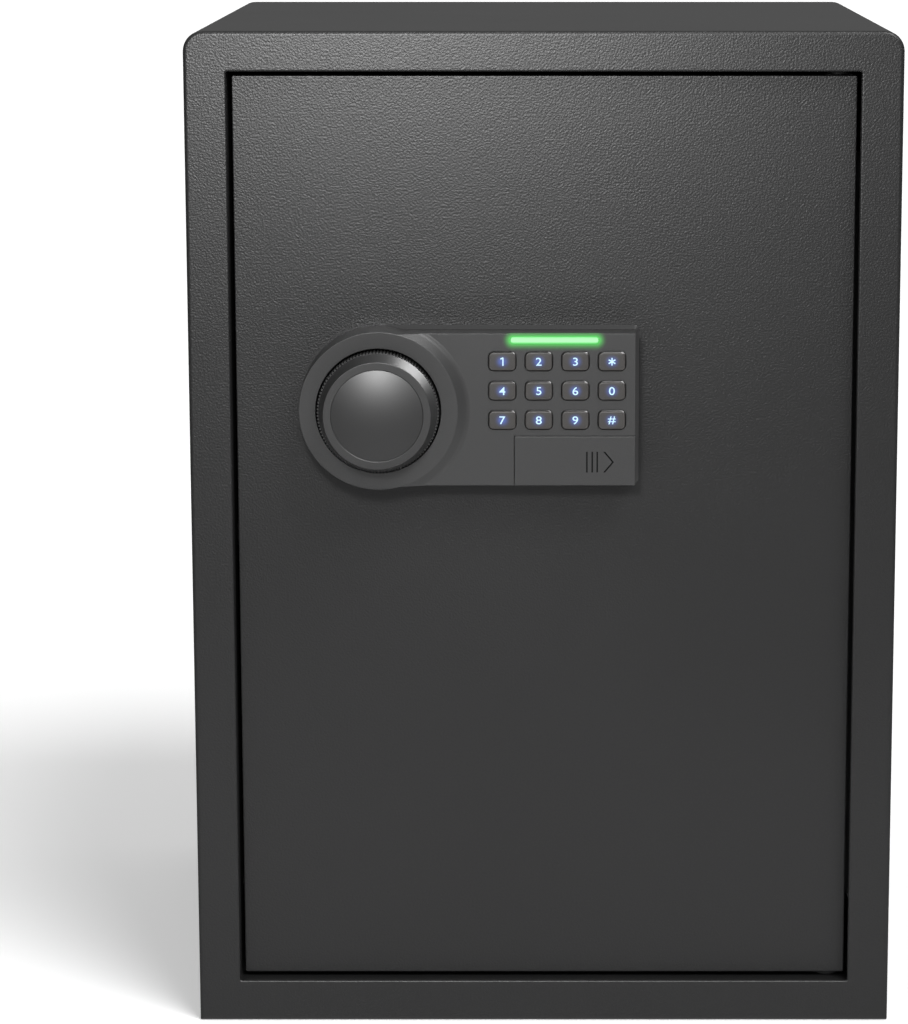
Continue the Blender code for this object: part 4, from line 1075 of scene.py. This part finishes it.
def makeFloorMat():
    # a cut sheet of needled felt with soft edges, and holes round the anchor plugs
    low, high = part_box("floor_mat")
    section = roundPath([
        (8 * mm, low.z), (0, low.z, mat["backEdge"]), (0, high.z, mat["edge"]), (8 * mm, high.z)], 5, 0.1 * mm)
    loops = []
    for inset, z in section:
        radius = max(mat["corner"] - inset, 0.5 * mm)
        loop = rectLoop(low.x + inset, high.x - inset, low.y + inset, high.y - inset, z, (radius,) * 4, 8)
        loops.append([point.xzy for point in loop])
    made = toObject("felt_mat", loft(loops))
    hole, flare = mat["hole"], mat["hole"] + mat["edge"]
    profile = [
        (hole, low.z - past), (hole, high.z - mat["edge"]), (hole + 0.3 * mm, high.z - 0.3 * mm),
        (flare, high.z + 0.01 * mm), (flare, high.z + past)]
    for node in floorPlugs:
        centre = centreOf(node)
        combine(made, turned("hole", profile, Matrix.Translation((centre.x, centre.y, 0)), 64))
    finishPiece(made, "cabinet", feltLook, ("floor_mat",), 60)


for make in (makeBolts, makeAnchorPlugs, makeCoverScrews, makeResetButton, makeHingeBushes, makeBatteries):
    make()
makePlunger()
makeFloorMat()
for node, look in (("lock_cable", rubberLook), ("plunger_spring", steelLook)):
    mesh = nodes[node].data
    mesh.materials.clear()
    mesh.materials.append(look)


# Floor, lights and camera

studio = {
    "cameraHeight": 0.5883, "cameraBack": 1.7655, "pitch": 10.885, "lens": 127.24, "sensor": 36,
    "shift": (-0.0876, 0.0282),
    "floorSize": 60, "floorDrop": 0.1 * mm, "floorGlow": 0.30,
    "sky": 0.50, "ground": 0.09, "below": 0.55,
    "sun": 2.3, "sunAngle": 27, "sunFrom": (0.50, -0.70, 1.0),
    "bounce": 2.1, "bouncePlace": (0, -0.50, 0.02), "bounceAim": (0, -0.165, 0.05), "bounceSize": (0.7, 0.06),
    "sheen": 6.0, "sheenPlace": (-0.103, -0.90, 0.625), "sheenSize": 0.16,
    "rim": 4.0, "rimSize": 0.18, "rimAway": 0.75, "rimFrom": (0.40, 0.82, 0.41),
}


def makeFloor():
    shape = bmesh.new()
    bmesh.ops.create_grid(shape, x_segments=1, y_segments=1, size=studio["floorSize"])
    floor = toObject("studio_floor", shape)
    floor.location.z = -studio["floorDrop"]
    made, tree, shader, place = newMaterial("paleFloor", {
        "Roughness": 0.9, "Specular IOR Level": 0.1,
        "Emission Color": (1, 1, 1, 1), "Emission Strength": studio["floorGlow"]})
    grain = useGroup(tree, grainGroup, place, {"Bump Size": 10 * mm})
    pale = mixColour(tree, grain["Patches"], (0.86, 0.86, 0.86), (0.88, 0.88, 0.88))
    tree.links.new(pale, shader.inputs["Base Color"])
    floor.data.materials.append(made)
    floor.visible_glossy = False
    return floor


def makeWorld():
    world = bpy.data.worlds.new("studio")
    world.use_nodes = True
    tree = world.node_tree
    background = tree.nodes["Background"]
    way = addNode(tree, "TexCoord").outputs["Generated"]
    height = addNode(tree, "SeparateXYZ", None, {0: way}).outputs[2]
    tones = [(studio[part],) * 3 for part in ("ground", "sky", "below")]
    upper = mixColour(tree, rampMask(tree, height, -0.1, 0.8), tones[0], tones[1])
    down = rampMask(tree, mathNode(tree, "MULTIPLY", height, -1.0), 0.15, 0.50)
    tree.links.new(mixColour(tree, down, upper, tones[2]), background.inputs[0])
    scene.world = world


def addLight(kind, name, energy, place, aim, **settings):
    data = bpy.data.lights.new(name, kind)
    data.energy = energy
    for key, value in settings.items():
        setattr(data, key, value)
    made = bpy.data.objects.new(name, data)
    made.location = place
    made.rotation_euler = (Vector(aim) - Vector(place)).to_track_quat("-Z", "Y").to_euler()
    scene.collection.objects.link(made)
    return made


def makeStudio():
    floor = makeFloor()
    makeWorld()
    addLight("SUN", "keySun", studio["sun"], studio["sunFrom"], (0, 0, 0), angle=radians(studio["sunAngle"]))
    place = Vector(studio["sheenPlace"])
    sheen = addLight(
        "AREA", "sheenLight", studio["sheen"], place, (place.x, 0, place.z),
        shape="DISK", size=studio["sheenSize"])
    sheen.visible_diffuse = False
    wide, tall = studio["bounceSize"]
    bounce = addLight(
        "AREA", "floorBounce", studio["bounce"], studio["bouncePlace"], studio["bounceAim"],
        shape="RECTANGLE", size=wide, size_y=tall)
    bounce.visible_glossy = False
    bounce.visible_camera = False
    # a light from behind that picks out the edges of the lock, and that the door doesn't shade
    aim = Vector((knobAxis.x, plateFront, knobAxis.z))
    place = aim + Vector(studio["rimFrom"]) * studio["rimAway"]
    rim = addLight("AREA", "lockRimLight", studio["rim"], place, aim, size=studio["rimSize"])
    rim.visible_camera = False
    lit, shading = bpy.data.collections.new("rimLit"), bpy.data.collections.new("rimShade")
    for piece in lockPieces:
        lit.objects.link(piece)
    shading.objects.link(floor)
    rim.light_linking.receiver_collection = lit
    rim.light_linking.blocker_collection = shading
    data = bpy.data.cameras.new("front")
    data.lens = studio["lens"]
    data.sensor_width = studio["sensor"]
    data.shift_x, data.shift_y = studio["shift"]
    camera = bpy.data.objects.new("front", data)
    camera.location = (0, frameLow.y - studio["cameraBack"], studio["cameraHeight"])
    camera.rotation_euler = (radians(90 - studio["pitch"]), 0, 0)
    scene.collection.objects.link(camera)
    scene.camera = camera
    scene.view_settings.view_transform = "Standard"


print("studio")
makeStudio()
